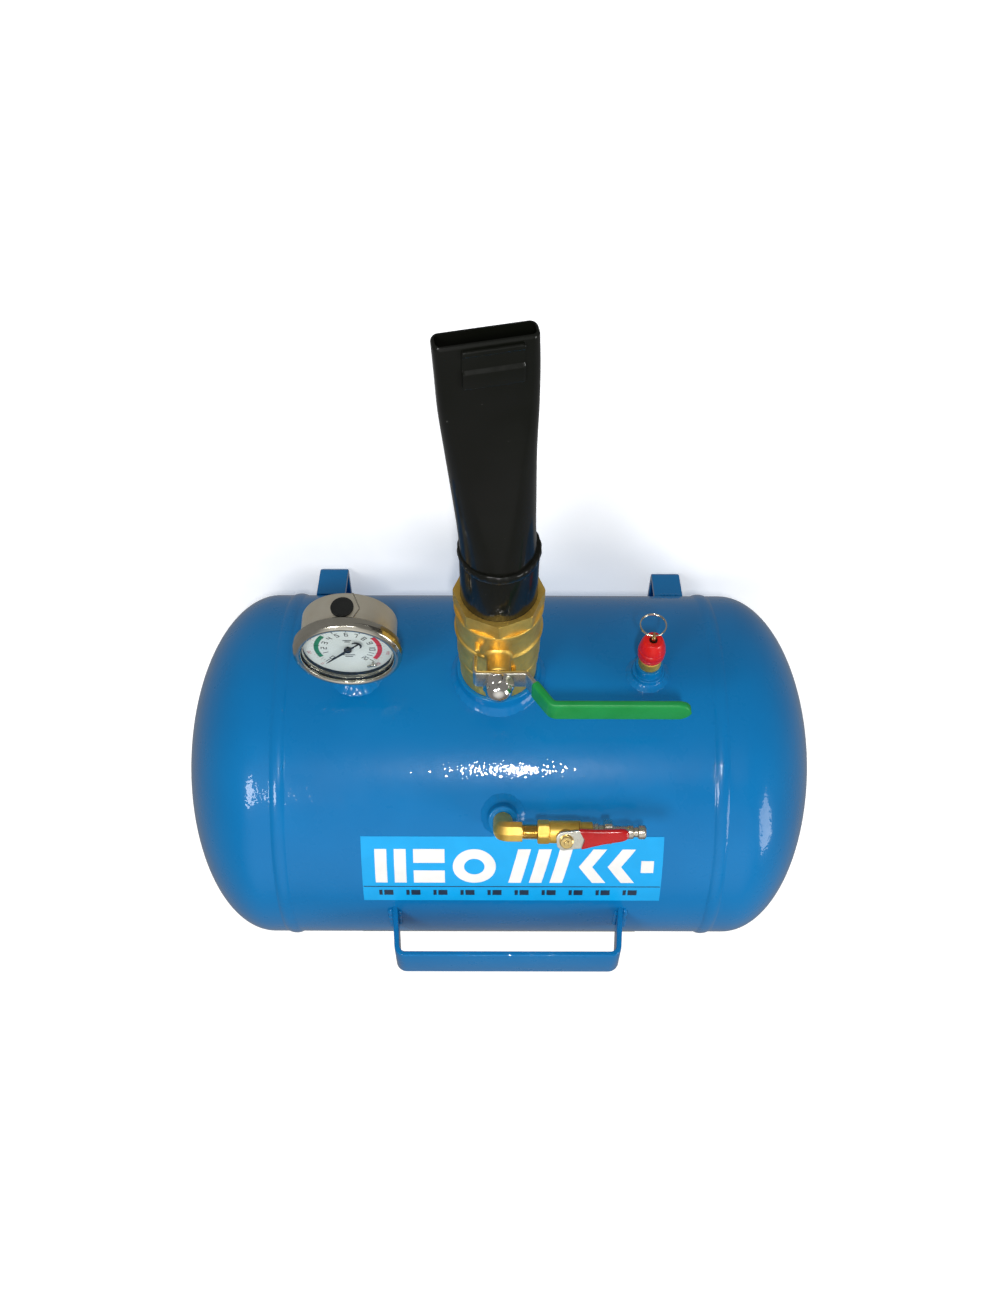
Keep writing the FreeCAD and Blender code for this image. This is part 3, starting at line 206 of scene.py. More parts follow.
def field(zs, segs, radius_at, bore=None):
    """Solid round z whose radius depends on angle and height, with an optional round bore."""
    rings = [[(radius_at(t, z) * cos(t), radius_at(t, z) * sin(t), z) for t in around(segs)] for z in zs]
    if bore is None:
        return loops(rings, capped=True)
    inner = [circle(bore, z, segs) for z in (zs[-1], zs[0])]
    return loops(rings + inner, wrap=True)


def gon_radius(sides, across_flats, turn=0.0, ease=0.35):
    """Radius of a polygon with eased corners as a function of angle."""
    step = 2 * pi / sides
    corner = across_flats / 2 / cos(step / 2)

    def at(angle):
        a = (angle - radians(turn)) % step - step / 2
        flat = across_flats / 2 / cos(a)
        return min(flat, corner - ease)
    return at


def nut(sides, across_flats, z0, z1, bore=None, turn=0.0, chamfer=0.9, both=True, segs=144):
    """Polygonal nut with turned chamfers on its ends."""
    gon = gon_radius(sides, across_flats, turn)
    corner = across_flats / 2 / cos(pi / sides)
    steps = [0, 0.12, 0.3, 0.6, 1.0]

    def radius_at(angle, z):
        top = (z1 - z) / chamfer if chamfer else 9
        low = (z - z0) / chamfer if both else 9
        k = min(top, low, 1.0)
        cone = across_flats / 2 - 0.25 + (corner - across_flats / 2 + 0.25) * k
        return min(gon(angle), cone)

    zs = [z0 + chamfer * s for s in steps] + [z0 + (z1 - z0) * 0.5]
    zs += [z1 - chamfer * s for s in reversed(steps)]
    return field(zs, segs, radius_at, bore)


def thread(z0, z1, radius, pitch, depth, bore=None, segs=48, per_pitch=8):
    """Screw thread that fades at both ends."""
    count = max(2, int((z1 - z0) / pitch * per_pitch))
    zs = [z0 + (z1 - z0) * i / count for i in range(count + 1)]

    def radius_at(angle, z):
        wave = abs(((z / pitch - angle / (2 * pi)) % 1.0) - 0.5) * 2
        fade = min(1.0, (z - z0) / pitch, (z1 - z) / pitch)
        return radius - depth * (1 - wave * max(fade, 0.15))
    return field(zs, segs, radius_at, bore)


def slab(outline, z0, z1, edge=0.4):
    """Plate of an outline in x and y with eased edges."""
    steps = 3
    pts = np.array(outline, float)
    area = 0.5 * np.sum(pts[:, 0] * np.roll(pts[:, 1], -1) - np.roll(pts[:, 0], -1) * pts[:, 1])
    if area < 0:
        pts = pts[::-1]
    ahead, back = np.roll(pts, -1, 0) - pts, pts - np.roll(pts, 1, 0)
    ahead /= np.linalg.norm(ahead, axis=1)[:, None]
    back /= np.linalg.norm(back, axis=1)[:, None]
    normal = np.stack([ahead[:, 1] + back[:, 1], -ahead[:, 0] - back[:, 0]], 1)
    normal /= np.maximum(np.linalg.norm(normal, axis=1)[:, None], 1e-6)
    rings = []
    for side, base in ((-1, z0), (1, z1)):
        for i in range(steps + 1):
            t = pi / 2 * (i if side < 0 else steps - i) / steps
            inset = edge * (1 - sin(t))
            z = base - side * edge * (1 - cos(t))
            rings.append([(x, y, z) for x, y in pts - normal * inset])
    return loops(rings, capped=True)


def block(w, d, z0, z1, corner, edge):
    """Upright block with eased corners, centred on z."""
    outline = [(-w / 2, -d / 2), (w / 2, -d / 2), (w / 2, d / 2), (-w / 2, d / 2)]
    return slab(eased(outline, corner), z0, z1, edge)


def tube(path, radius, segs=16, closed=False, taper=None):
    """Round bar along a 3-D path."""
    pts = [Vector(p) for p in path]
    count = len(pts)
    normal = None
    rings = []
    for i, p in enumerate(pts):
        ahead = pts[(i + 1) % count] if closed or i < count - 1 else p
        back = pts[i - 1] if closed or i else p
        tangent = (ahead - back).normalized()
        if normal is None:
            normal = tangent.orthogonal().normalized()
        normal = (normal - tangent * normal.dot(tangent)).normalized()
        side = tangent.cross(normal)
        r = radius * (taper(i / max(count - 1, 1)) if taper else 1)
        rings.append([tuple(p + r * (cos(a) * normal + sin(a) * side))
                      for a in around(segs)])
    return loops(rings, capped=not closed, wrap=closed)


def ribbon(path, half_width, thick, edge=0.5, steps=3):
    """Flat bar whose centre line lies in x and z; half_width gives y for a fraction of the length."""
    pts = np.array(path, float)
    runs = np.concatenate([[0], np.cumsum(np.linalg.norm(np.diff(pts, axis=0), axis=1))])
    rings = []
    for i, p in enumerate(pts):
        if i in (0, len(pts) - 1):
            t = pts[1] - pts[0] if i == 0 else pts[-1] - pts[-2]
            grow = 1.0
        else:
            a = (pts[i] - pts[i - 1]) / np.linalg.norm(pts[i] - pts[i - 1])
            b = (pts[i + 1] - pts[i]) / np.linalg.norm(pts[i + 1] - pts[i])
            t = a + b
            grow = 1 / max(0.5, cos(acos(float(np.clip(a @ b, -1, 1))) / 2))
        t = t / np.linalg.norm(t)
        up = np.array([-t[1], t[0]]) * grow
        w = half_width(runs[i] / runs[-1], runs[-1])
        section = eased([(-w, -thick / 2), (w, -thick / 2), (w, thick / 2), (-w, thick / 2)],
                        min(edge, w * 0.9), steps)
        rings.append([(p[0] + up[0] * s[1], s[0], p[1] + up[1] * s[1]) for s in section])
    return loops(rings, capped=True)


def bent(points, radius, steps=8):
    """Path in x and z with eased bends and evenly split straights."""
    path = eased(points, radius, steps, closed=False)
    fine = [path[0]]
    for a, b in zip(path, path[1:]):
        fine += between(a, b, max(1, int(dist(a, b) / 4)))
    return fine


def saddle_weld(radius, width, rise, ripples, seed, segs=180):
    """Fillet bead between a boss and the tank's round side, in a frame whose z leaves the tank."""
    rng = random.Random(seed)
    wobble = [rng.uniform(-1, 1) for _ in range(ripples)]
    rings = []
    for k, a in enumerate(around(segs)):
        c, s = cos(a), sin(a)
        beat = (k * ripples / segs) % 1.0
        lump = wobble[int(k * ripples / segs) % ripples]
        grow = 1 + 0.10 * (1 - (2 * beat - 1) ** 2) + 0.05 * lump
        w, h = width * grow, rise * grow

        def ground(r):
            return sqrt(TANK_R ** 2 - (r * s) ** 2)
        ring = []
        for j in range(9):
            t = j / 8 * pi / 2
            r = radius + w * (1 - cos(t)) * 0.35 + w * 0.65 * sin(t) * (j / 8)
            z = ground(r) + h * (1 - j / 8) ** 1.35 + 0.35 * sin(pi * j / 8)
            ring.append((r * c, r * s, z))
        r_out = radius + w + 0.2
        ring.append((r_out * c, r_out * s, ground(r_out) - 0.8))
        ring.append(((radius - 0.4) * c, (radius - 0.4) * s, ground(radius) - 0.8))
        ring.append(((radius - 0.4) * c, (radius - 0.4) * s, ground(radius) + h))
        rings.append(ring)
    return loops(rings, wrap=True)


def bead(path, radius, seed):
    """Short run of weld along a path, lumpy and tapering at its ends."""
    ripple = 2.2
    pts = [Vector(p) for p in path]
    total = sum((b - a).length for a, b in zip(pts, pts[1:]))
    count = max(8, int(total / 0.45))
    rng = random.Random(seed)
    samples = []
    for i in range(count + 1):
        want = total * i / count
        for a, b in zip(pts, pts[1:]):
            step = (b - a).length
            if want <= step + 1e-6:
                samples.append(a + (b - a) * (want / step))
                break
            want -= step
    lumps = [rng.uniform(-0.12, 0.12) for _ in range(int(total / ripple) + 2)]

    def size(f):
        run = f * total
        beat = (run / ripple) % 1
        ends = min(1, sqrt(max(0.02, min(run, total - run) / (radius * 1.2))))
        return ends * (0.9 + 0.16 * (1 - (2 * beat - 1) ** 2) + lumps[int(run / ripple)])
    return tube(samples, radius, 12, taper=size)


# --------------------------------------------------------------- materials
class Nodes:
    """Short way of wiring a Principled material."""

    def __init__(self, name):
        self.mat = bpy.data.materials.new(name)
        self.mat.use_nodes = True
        self.tree = self.mat.node_tree
        self.shader = next(n for n in self.tree.nodes if n.type == "BSDF_PRINCIPLED")
        self.coords = self.tree.nodes.new("ShaderNodeTexCoord").outputs["Object"]

    def link(self, a, b):
        self.tree.links.new(a, b)

    def set(self, **values):
        for key, value in values.items():
            self.shader.inputs[key.replace("_", " ")].default_value = value

    def stretch(self, scale, turn=(0, 0, 0)):
        node = self.tree.nodes.new("ShaderNodeMapping")
        node.inputs["Scale"].default_value = scale
        node.inputs["Rotation"].default_value = turn
        self.link(self.coords, node.inputs["Vector"])
        return node.outputs["Vector"]

    def noise(self, size_mm, detail=2, rough=0.5, vector=None):
        node = self.tree.nodes.new("ShaderNodeTexNoise")
        node.inputs["Scale"].default_value = 1000 / size_mm
        node.inputs["Detail"].default_value = detail
        node.inputs["Roughness"].default_value = rough
        self.link(vector or self.coords, node.inputs["Vector"])
        return node.outputs[0]

    def cells(self, size_mm, vector=None):
        node = self.tree.nodes.new("ShaderNodeTexVoronoi")
        node.inputs["Scale"].default_value = 1000 / size_mm
        self.link(vector or self.coords, node.inputs["Vector"])
        return node.outputs["Distance"]

    def ramp(self, factor, stops):
        node = self.tree.nodes.new("ShaderNodeValToRGB")
        ramp = node.color_ramp
        while len(ramp.elements) < len(stops):
            ramp.elements.new(0.5)
        for element, (at, colour) in zip(ramp.elements, stops):
            element.position = at
            if isinstance(colour, (int, float)):
                colour = (colour,) * 3
            element.color = (*colour, 1)
        self.link(factor, node.inputs["Fac"])
        return node.outputs["Color"]

    def blend(self, factor, a, b, kind="MIX"):
        node = self.tree.nodes.new("ShaderNodeMix")
        node.data_type = "RGBA"
        node.blend_type = kind
        for socket, value in ((node.inputs["Factor"], factor), (node.inputs["A"], a), (node.inputs["B"], b)):
            if isinstance(value, bpy.types.NodeSocket):
                self.link(value, socket)
            elif isinstance(value, tuple):
                socket.default_value = (*value, 1)
            else:
                socket.default_value = value
        return node.outputs["Result"]

    def bump(self, height, depth_mm, strength=1.0, base=None):
        node = self.tree.nodes.new("ShaderNodeBump")
        node.inputs["Strength"].default_value = strength
        node.inputs["Distance"].default_value = depth_mm * MM
        self.link(height, node.inputs["Height"])
        if base:
            self.link(base, node.inputs["Normal"])
        return node.outputs["Normal"]

    def feed(self, **sockets):
        for key, output in sockets.items():
            self.link(output, self.shader.inputs[key.replace("_", " ")])
        return self.mat


def enamel(name, low, mid, high, peel=0.03, rough=0.3, coat=0.9, haze=1.5, specks=None):
    """Sprayed gloss paint: slight cloudiness, orange peel in the coat and dust caught in it."""
    m = Nodes(name)
    m.set(Coat_Weight=coat, Coat_Roughness=0.02, Coat_IOR=1.32, Specular_IOR_Level=0.08)
    cloud = m.ramp(m.noise(90, 3), [(0.3, low), (0.5, mid), (0.72, high)])
    fine = m.noise(3.0, 1, 0.6)
    dust = m.noise(3.1, 1)
    if specks:
        colour = m.blend(m.ramp(dust, [(0.79, 0.0), (0.84, 1.0)]), cloud, specks)
    else:
        colour = m.blend(m.ramp(dust, [(0.74, 0.0), (0.82, 0.12)]), cloud, high)
    wave = m.bump(m.noise(7.5, 1), peel * 0.8)
    peeled = m.bump(fine, peel * 1.5, 1.0, wave)
    soft = m.bump(m.noise(7.5, 1), peel * haze)
    worn = m.ramp(m.noise(24, 4, 0.6), [(0.35, rough * 0.85), (0.75, rough * 1.25)])
    return m.feed(Base_Color=colour, Normal=soft, Coat_Normal=peeled, Roughness=worn)


def metal(name, dark, light, rough, grain=0.7, depth=0.02, detail=3, blotch=14, pits=0.0, spread=0.3,
          stretch=None):
    """Bare metal whose tint and polish wander, with a fine surface grain."""
    m = Nodes(name)
    m.set(Metallic=1.0)
    vector = m.stretch(stretch) if stretch else None
    tone = m.ramp(m.noise(blotch, 4, 0.6), [(0.32, dark), (0.7, light)])
    grit = m.noise(grain, detail, 0.6, vector)
    finish = m.ramp(grit, [(0.3, rough * (1 - spread)), (0.72, rough * (1 + spread))])
    normal = m.bump(grit, depth)
    if pits:
        normal = m.bump(m.cells(1.7), pits, 0.6, normal)
    return m.feed(Base_Color=tone, Roughness=finish, Normal=normal)


def plastic(name, dark, light, rough, wave=9.0, depth=0.05, coat=0.0, grain=0.6, grain_depth=0.006):
    """Moulded or printed plastic: a shallow wave under a fine grain."""
    m = Nodes(name)
    m.set(Coat_Weight=coat, Coat_Roughness=0.12, Specular_IOR_Level=0.3)
    tone = m.ramp(m.noise(16, 3), [(0.3, dark), (0.7, light)])
    ripple = m.bump(m.noise(wave, 2), depth)
    normal = m.bump(m.noise(grain, 2), grain_depth, 1.0, ripple)
    finish = m.ramp(m.noise(5, 3), [(0.3, rough * 0.85), (0.75, rough * 1.2)])
    return m.feed(Base_Color=tone, Roughness=finish, Normal=normal)


def clear_glass():
    """Clear pane that mirrors only at a glance."""
    m = Nodes("clear glass")
    tree = m.tree
    tree.nodes.remove(m.shader)
    clear = tree.nodes.new("ShaderNodeBsdfTransparent")
    clear.inputs["Color"].default_value = (0.97, 0.985, 0.98, 1)
    gloss = tree.nodes.new("ShaderNodeBsdfGlossy")
    gloss.inputs["Roughness"].default_value = 0.02
    m.link(m.bump(m.noise(30, 1), 0.01), gloss.inputs["Normal"])
    facing = tree.nodes.new("ShaderNodeLayerWeight")
    mix = tree.nodes.new("ShaderNodeMixShader")
    sheen = m.ramp(facing.outputs["Facing"], [(0.0, 0.02), (0.45, 0.03), (0.75, 0.12), (1.0, 0.8)])
    m.link(sheen, mix.inputs[0])
    m.link(clear.outputs[0], mix.inputs[1])
    m.link(gloss.outputs[0], mix.inputs[2])
    out = next(n for n in tree.nodes if n.type == "OUTPUT_MATERIAL")
    m.link(mix.outputs[0], out.inputs["Surface"])
    return m.mat


MAT = {
    "blue_paint": enamel("blue enamel", (0.002, 0.142, 0.372), (0.002, 0.153, 0.396), (0.003, 0.164, 0.418),
        peel=0.10, coat=0.8, haze=0.6),
    "black_paint": enamel("black enamel", (0.003, 0.0035, 0.0025), (0.004, 0.0045, 0.003),
        (0.006, 0.006, 0.005), peel=0.02, rough=0.35, coat=0.55, specks=(0.05, 0.05, 0.047)),
    "brass": metal("cast brass", (0.73, 0.46, 0.090), (0.94, 0.65, 0.165), 0.50, grain=0.8, depth=0.035,
        pits=0.025),
    "brass_turned": metal("turned brass", (0.66, 0.47, 0.17), (0.80, 0.62, 0.28), 0.24, grain=0.35,
        depth=0.006),
    "zinc_plate": metal("zinc plate", (0.52, 0.51, 0.43), (0.68, 0.67, 0.60), 0.33, grain=0.6, depth=0.012,
        blotch=9),
    "chrome": metal("chrome", (0.66, 0.63, 0.57), (0.78, 0.76, 0.72), 0.13, grain=1.2, depth=0.008, blotch=6),
    "stainless": metal("brushed stainless", (0.88, 0.81, 0.65), (0.96, 0.91, 0.77), 0.44, grain=1.4,
        depth=0.004, blotch=20, stretch=(1, 1, 14)),
    "bezel_steel": metal("polished stainless", (0.50, 0.47, 0.39), (0.62, 0.59, 0.51), 0.17, grain=2.0,
        depth=0.006, blotch=18),
    "plated_steel": metal("nickel plate", (0.50, 0.45, 0.36), (0.68, 0.64, 0.56), 0.27, grain=0.6, depth=0.01,
        blotch=4),
    "ring_wire": metal("ring wire", (0.68, 0.60, 0.44), (0.80, 0.76, 0.66), 0.16, grain=0.5, depth=0.006,
        blotch=5),
    "green_vinyl": plastic("green vinyl", (0.006, 0.215, 0.040), (0.010, 0.255, 0.056), 0.40, depth=0.09),
    "red_vinyl": plastic("red vinyl", (0.35, 0.004, 0.005), (0.44, 0.006, 0.006), 0.27, depth=0.12, coat=0.3),
    "red_anodised": plastic("red anodised", (0.50, 0.005, 0.004), (0.61, 0.008, 0.006), 0.30, depth=0.02,
        coat=0.2),
    "ptfe": plastic("white seat plastic", (0.78, 0.78, 0.75), (0.86, 0.86, 0.84), 0.5),
    "black_rubber": plastic("black rubber", (0.006, 0.006, 0.006), (0.010, 0.011, 0.010), 0.75, grain=0.5,
        grain_depth=0.03),
    "glass": clear_glass(),
    "dial_white": plastic("dial enamel", (0.60, 0.63, 0.62), (0.66, 0.69, 0.68), 0.42, depth=0.01),
    "pointer_black": plastic("pointer black", (0.012, 0.012, 0.013), (0.02, 0.02, 0.021), 0.4, depth=0.01),
    "label_film": plastic("label cyan", (0.002, 0.325, 0.70), (0.003, 0.355, 0.76), 0.36, wave=26, depth=0.05,
        coat=0.15),
    "print_white": plastic("label white", (0.74, 0.73, 0.71), (0.82, 0.81, 0.79), 0.36, wave=26, depth=0.04,
        coat=0.4),
    "print_dark": plastic("label dark", (0.010, 0.022, 0.045), (0.016, 0.035, 0.07), 0.34),
    "dial_red": plastic("dial red", (0.50, 0.022, 0.045), (0.60, 0.035, 0.06), 0.4, depth=0.005),
    "dial_green": plastic("dial green", (0.014, 0.17, 0.09), (0.02, 0.21, 0.11), 0.4, depth=0.005),
    "dial_pink": plastic("dial fine print", (0.46, 0.14, 0.16), (0.52, 0.18, 0.20), 0.4, depth=0.005),
    "back_film": plastic("back label film", (0.16, 0.135, 0.055), (0.22, 0.185, 0.08), 0.34, wave=26,
        depth=0.04),
    # Near-black red: painted shade for the inside of the relief cap's hole, not a colour of the cap.
    "painted_hole_shade": plastic("painted shade in hole", (0.012, 0.006, 0.005), (0.02, 0.009, 0.008), 0.6),
}
RECORD_SLOT = {part["node"]: part["material_slot"] for part in frame["record"]["subparts"]}
for node_name, node_obj in frame["nodes"].items():
    node_obj.data.materials.clear()
    node_obj.data.materials.append(MAT["back_film" if node_name == "back_label" else RECORD_SLOT[node_name]])
    for polygon in node_obj.data.polygons:
        polygon.material_index = 0


# ------------------------------------------------------------------ vessel
FLANGE, HEAD_DEPTH, SHELL_HALF = 15.5, 62.5, 148.0


def bead_height(offset, angle, seed):
    """Round seam weld: a smooth low bead whose width and height wander a little."""
    wander = waver(cos(angle) * 3.1, sin(angle) * 3.1, seed)
    ripple = 0.5 + 0.5 * cos(angle * 190 + 2.5 * wander)
    half = 4.7 * (1 + 0.10 * wander)
    t = abs(offset) / half
    if t >= 1:
        return 0.0
    return (1.25 + 0.18 * wander) * (1 - t * t) ** 0.8 + 0.045 * ripple * (1 - t)


def vessel():
    stations = [(x, TANK_R) for x in np.linspace(-140, 140, 29)]
    near = [(SHELL_HALF + o, TANK_R) for o in np.linspace(-5.4, 5.4, 19)]
    flange = [(SHELL_HALF + o, TANK_R) for o in (8, 12)]
    dome = []
    for k in range(41):
        t = pi / 2 * k / 40
        dome.append((SHELL_HALF + FLANGE + HEAD_DEPTH * sin(t), TANK_R * cos(t)))
    half = near + flange + dome[:-1]
    stations = [(-x, r) for x, r in reversed(half)] + stations + half
    segs = 384
    rings = []
    for x, r in stations:
        ring = []
        for a in around(segs):
            lift = bead_height(abs(x) - SHELL_HALF, a, copysign(4.0, x)) if r == TANK_R else 0.0
            dent = 0.10 * waver(x * 0.011, cos(a) * 1.9, sin(a) * 1.9)
            out = r + lift + dent * (r / TANK_R)
            ring.append((x, out * cos(a), out * sin(a)))
        rings.append(ring)
    verts, faces = loops(rings)
    tip = SHELL_HALF + FLANGE + HEAD_DEPTH
    for side, start in ((-1, 0), (1, (len(rings) - 1) * segs)):
        verts.append((side * tip, 0, 0))
        centre = len(verts) - 1
        for k in range(segs):
            faces.append((start + k, start + (k + 1) % segs, centre))
    return verts, faces


piece("vessel_skin", [vessel()], TANK, "blue_paint", sharp=60, node=("tank_shell", "head_left", "head_right",
    "seam_weld_left", "seam_weld_right"))

BOSSES = (
    ("valve_boss", VALVE_X, FORWARD, 28.0, 134.0, 24.2, 4.6, 3.6, 34, 11),
    ("gauge_boss", GAUGE_X, FORWARD, 12.0, 138.0, 6.55, 5.0, 6.0, 16, 12),
    ("inlet_boss", INLET_X, INLET, 10.0, 137.0, 5.25, 4.5, 4.5, 14, 14),
)
for label, x, turn, radius, top, bore, rise, width, ripples, seed in BOSSES:
    place = TANK @ shift(x, 0, 0) @ turn
    piece(label + "_ring", [lathe([(bore, 113), (radius, 113), (radius, top), (bore, top)], radius=1.3,
            steps=5)], place, "blue_paint", node=label)
    piece(label + "_fillet", [saddle_weld(radius, width, rise, ripples, seed)], place, "blue_paint",
        node=label + "_weld", sharp=75)
piece("safety_boss_ring", [lathe([(6.25, 113, .3), (11, 113, .3), (11, 131, 1.0), (9, 131, .5), (9, 138, .9),
        (6.25, 138, .3)], steps=5)], forward_at(SAFETY_X), "blue_paint", node="safety_boss")
piece("safety_boss_fillet", [saddle_weld(11, 3.6, 3.2, 15, 13)], forward_at(SAFETY_X), "blue_paint",
    node="safety_boss_weld", sharp=75)


# --------------------------------------------------------- handle and feet
HANDLE_BACK, HANDLE_WIDTH, HANDLE_THICK, HANDLE_BEND = 1.5, 31.0, 3.5, 5.8
HANDLE = TANK @ shift(-6, -HANDLE_BACK, 0)
handle_path = bent([(-78.35, 122.6), (-75.4, 157.25), (75.4, 157.25), (78.35, 122.6)], HANDLE_BEND)
piece("handle_strap", [ribbon(handle_path, lambda f, n: HANDLE_WIDTH / 2, HANDLE_THICK, 0.9, 4)], HANDLE,
    "blue_paint", node="carry_handle")


def handle_bead(side, seed):
    """Weld along the outer face of the strap, hugging the shell, and a shorter one inside."""
    parts = []
    for off, half, radius in ((81.2, 14.0, 2.3), (75.4, 11.0, 1.5)):
        path = [(off * side, y, sqrt(TANK_R ** 2 - (y - HANDLE_BACK) ** 2) + 0.35)
                for y in np.linspace(-half, half, 25)]
        parts.append(bead(path, radius, seed + int(off)))
    return parts


piece("handle_bead_left", handle_bead(1, 3), HANDLE, "blue_paint", node="handle_weld_left", sharp=75)
piece("handle_bead_right", handle_bead(-1, 5), HANDLE, "blue_paint", node="handle_weld_right", sharp=75)

FOOT_WIDTH, FOOT_THICK, FOOT_REACH, FOOT_LEAN, LEG_RISE = 21.4, 5.0, 53.6, 0.3, 30.5
for label, foot_x, foot_y in (("left", 127.0, -5.0), ("right", -128.0, 0.0)):
    sole = -AXIS_Z + FOOT_THICK / 2
    leg_top = (FOOT_REACH + FOOT_LEAN * LEG_RISE, sole + LEG_RISE)
    foot_path = bent([(-leg_top[0], leg_top[1]), (-FOOT_REACH, sole), (FOOT_REACH, sole), leg_top], 4.5)
    foot_frame = TANK @ shift(foot_x, foot_y, 0) @ rot(90, "Z")
    piece("foot_strap_" + label, [ribbon(foot_path, lambda f, n: FOOT_WIDTH / 2, FOOT_THICK, 0.9, 4)],
        foot_frame, "blue_paint", node="foot_" + label)
    for end in (-1, 1):
        y = end * 62.4 + foot_y
        path = [(u, y, -sqrt(TANK_R ** 2 - y * y) - 0.5) for u in np.linspace(-9, 9, 18)]
        piece("foot_bead_%s_%s" % (label, "front" if end < 0 else "rear"), [bead(path, 2.0, 20 + end)],
            TANK @ shift(foot_x, 0, 0), "blue_paint", sharp=75)


# ------------------------------------------------------------------- label
LABEL_LOW = 52.0


def wrapped(grid, low=0.12, high=0.33):
    """Thin printed patch on the shell; the grid holds (x, height up the label) points."""
    rings = []
    for level in (low, high):
        for row in grid:
            ring = []
            for x, s in row:
                a = radians(LABEL_LOW) + s / TANK_R
                r = TANK_R + level
                ring.append((x, -r * cos(a), r * sin(a)))
            rings.append(ring)
    n, m = len(grid), len(grid[0])
    verts = [p for ring in rings for p in ring]
    faces = []
    for base, flip in ((0, True), (n * m, False)):
        for i in range(n - 1):
            for k in range(m - 1):
                quad = (base + i * m + k, base + i * m + k + 1, base + (i + 1) * m + k + 1,
                    base + (i + 1) * m + k)
                faces.append(quad[::-1] if flip else quad)
    rim = [k for k in range(m)] + [i * m + m - 1 for i in range(1, n)]
    rim += [(n - 1) * m + k for k in range(m - 2, -1, -1)] + [i * m for i in range(n - 2, 0, -1)]
    for a, b in zip(rim, rim[1:] + rim[:1]):
        faces.append((a, b, b + n * m, a + n * m))
    return verts, faces


def bar(a, b, c, d, steps=14):
    """Four-cornered patch; a-b is its lower edge, d-c its upper one."""
    grid = []
    for i in range(steps + 1):
        t = i / steps
        left = (a[0] + (d[0] - a[0]) * t, a[1] + (d[1] - a[1]) * t)
        right = (b[0] + (c[0] - b[0]) * t, b[1] + (c[1] - b[1]) * t)
        grid.append([left, right])
    return wrapped(grid)


def oblong(x0, x1, low, high, steps=14):
    """Upright rectangle on the label."""
    return bar((x0, low), (x1, low), (x1, high), (x0, high), steps)


def arc_band(cx, cy, rx, ry, width, start, end, steps=40):
    """Part of an oval ring on the label, between two angles in degrees."""
    grid = []
    for i in range(steps + 1):
        t = radians(start + (end - start) * i / steps)
        c, s = cos(t), sin(t)
        grid.append([(cx + (rx - width) * c, cy + (ry - width) * s), (cx + rx * c, cy + ry * s)])
    return wrapped(grid)


def label_print():
    """A row of plain white shapes, a rule and a line of dashes, standing in for the lettering."""
    low, high = 9.5, 38.0
    mid = (low + high) / 2
    white = [oblong(-104, -95.5, mid - 5, mid + 5)]
    for x in (-91, -71.5):
        white.append(bar((x + 9, mid), (x + 18, mid), (x + 8.5, high), (x - 0.5, high)))
        white.append(bar((x - 0.5, low), (x + 8.5, low), (x + 18, mid - 0.02), (x + 9, mid - 0.02)))
    for x in (-49, -35, -21):
        white.append(bar((x, low), (x + 8.5, low), (x + 15, high), (x + 6.5, high)))
    white += [arc_band(17, mid, 14.5, (high - low) / 2, 7.6, start, start + 180) for start in (0, 180)]
    white += [oblong(37, 58, low, low + 11), oblong(37, 58, high - 11, high), oblong(63, 71, low, high),
              oblong(76, 84, low, high)]
    rule = [oblong(-109.5, 92.5, 41.6, 42.3, 2)]
    for k in range(10):
        x = -94 + 18.5 * k
        rule += [oblong(x, x + 6.2, 45.4, 50.6, 4), oblong(x + 7.4, x + 9.6, 45.4, 50.6, 4)]
    piece("label_shapes", white, TANK, "print_white", smooth=False)
    piece("label_dashes", rule, TANK, "print_dark", smooth=False)


label_print()

# ------------------------------------------------------------- main valve
FWD_VALVE = forward_at(VALVE_X)


def seam_line(angle, where, width):
    """0..1 rise of the parting line left by the casting halves."""
    d = (angle - where + pi) % (2 * pi) - pi
    return exp(-(d / width) ** 2)


def valve_casting():
    """Barrel-shaped brass body with two turned ridges and an octagonal mouth."""
    knots = [(158.0, 25.6), (158.5, 26.5), (160, 27.0), (172, 27.0), (181.2, 27.05), (182.6, 27.4),
        (183.4, 28.2), (184.2, 28.5), (185.4, 28.5), (186.2, 28.2), (186.9, 27.6), (188.2, 27.3),
        (196, 27.25), (204.6, 27.3), (205.9, 27.6), (206.6, 28.2), (207.4, 28.5), (208.6, 28.5),
        (209.3, 28.3), (OCTAGON_BACK, 28.1)]
    zs, rs = [k[0] for k in knots], [k[1] for k in knots]
    octagon = gon_radius(8, 2 * 28.9 * cos(pi / 8), 90.0, ease=0.10)
    stations = list(np.linspace(158, 209.55, 150)) + [209.7, 210.2, 214, 218, 220.8, 221.5, 221.8, RIM_V]

    def radius_at(angle, z):
        up = pi / 2
        seam = max(seam_line(angle, up, 0.020), seam_line(angle, -up, 0.020))
        if z < OCTAGON_BACK:
            r = float(np.interp(z, zs, rs))
            rough = 0.10 * waver(cos(angle) * 9, sin(angle) * 9, z * 0.30)
            ridge = 1.0 if (182.5 < z < 187 or z > 206) else 0.0
            lift = 0.0 if ridge else 0.35 * seam
            return r + rough * (1 - ridge) + lift
        r = octagon(angle)
        cone = 28.95 - max(0.0, z - 221.5) * 0.8 - max(0.0, 210.2 - z) * 1.0
        return min(r, cone) + 0.32 * seam
    return field(stations, 288, radius_at, 24.2)


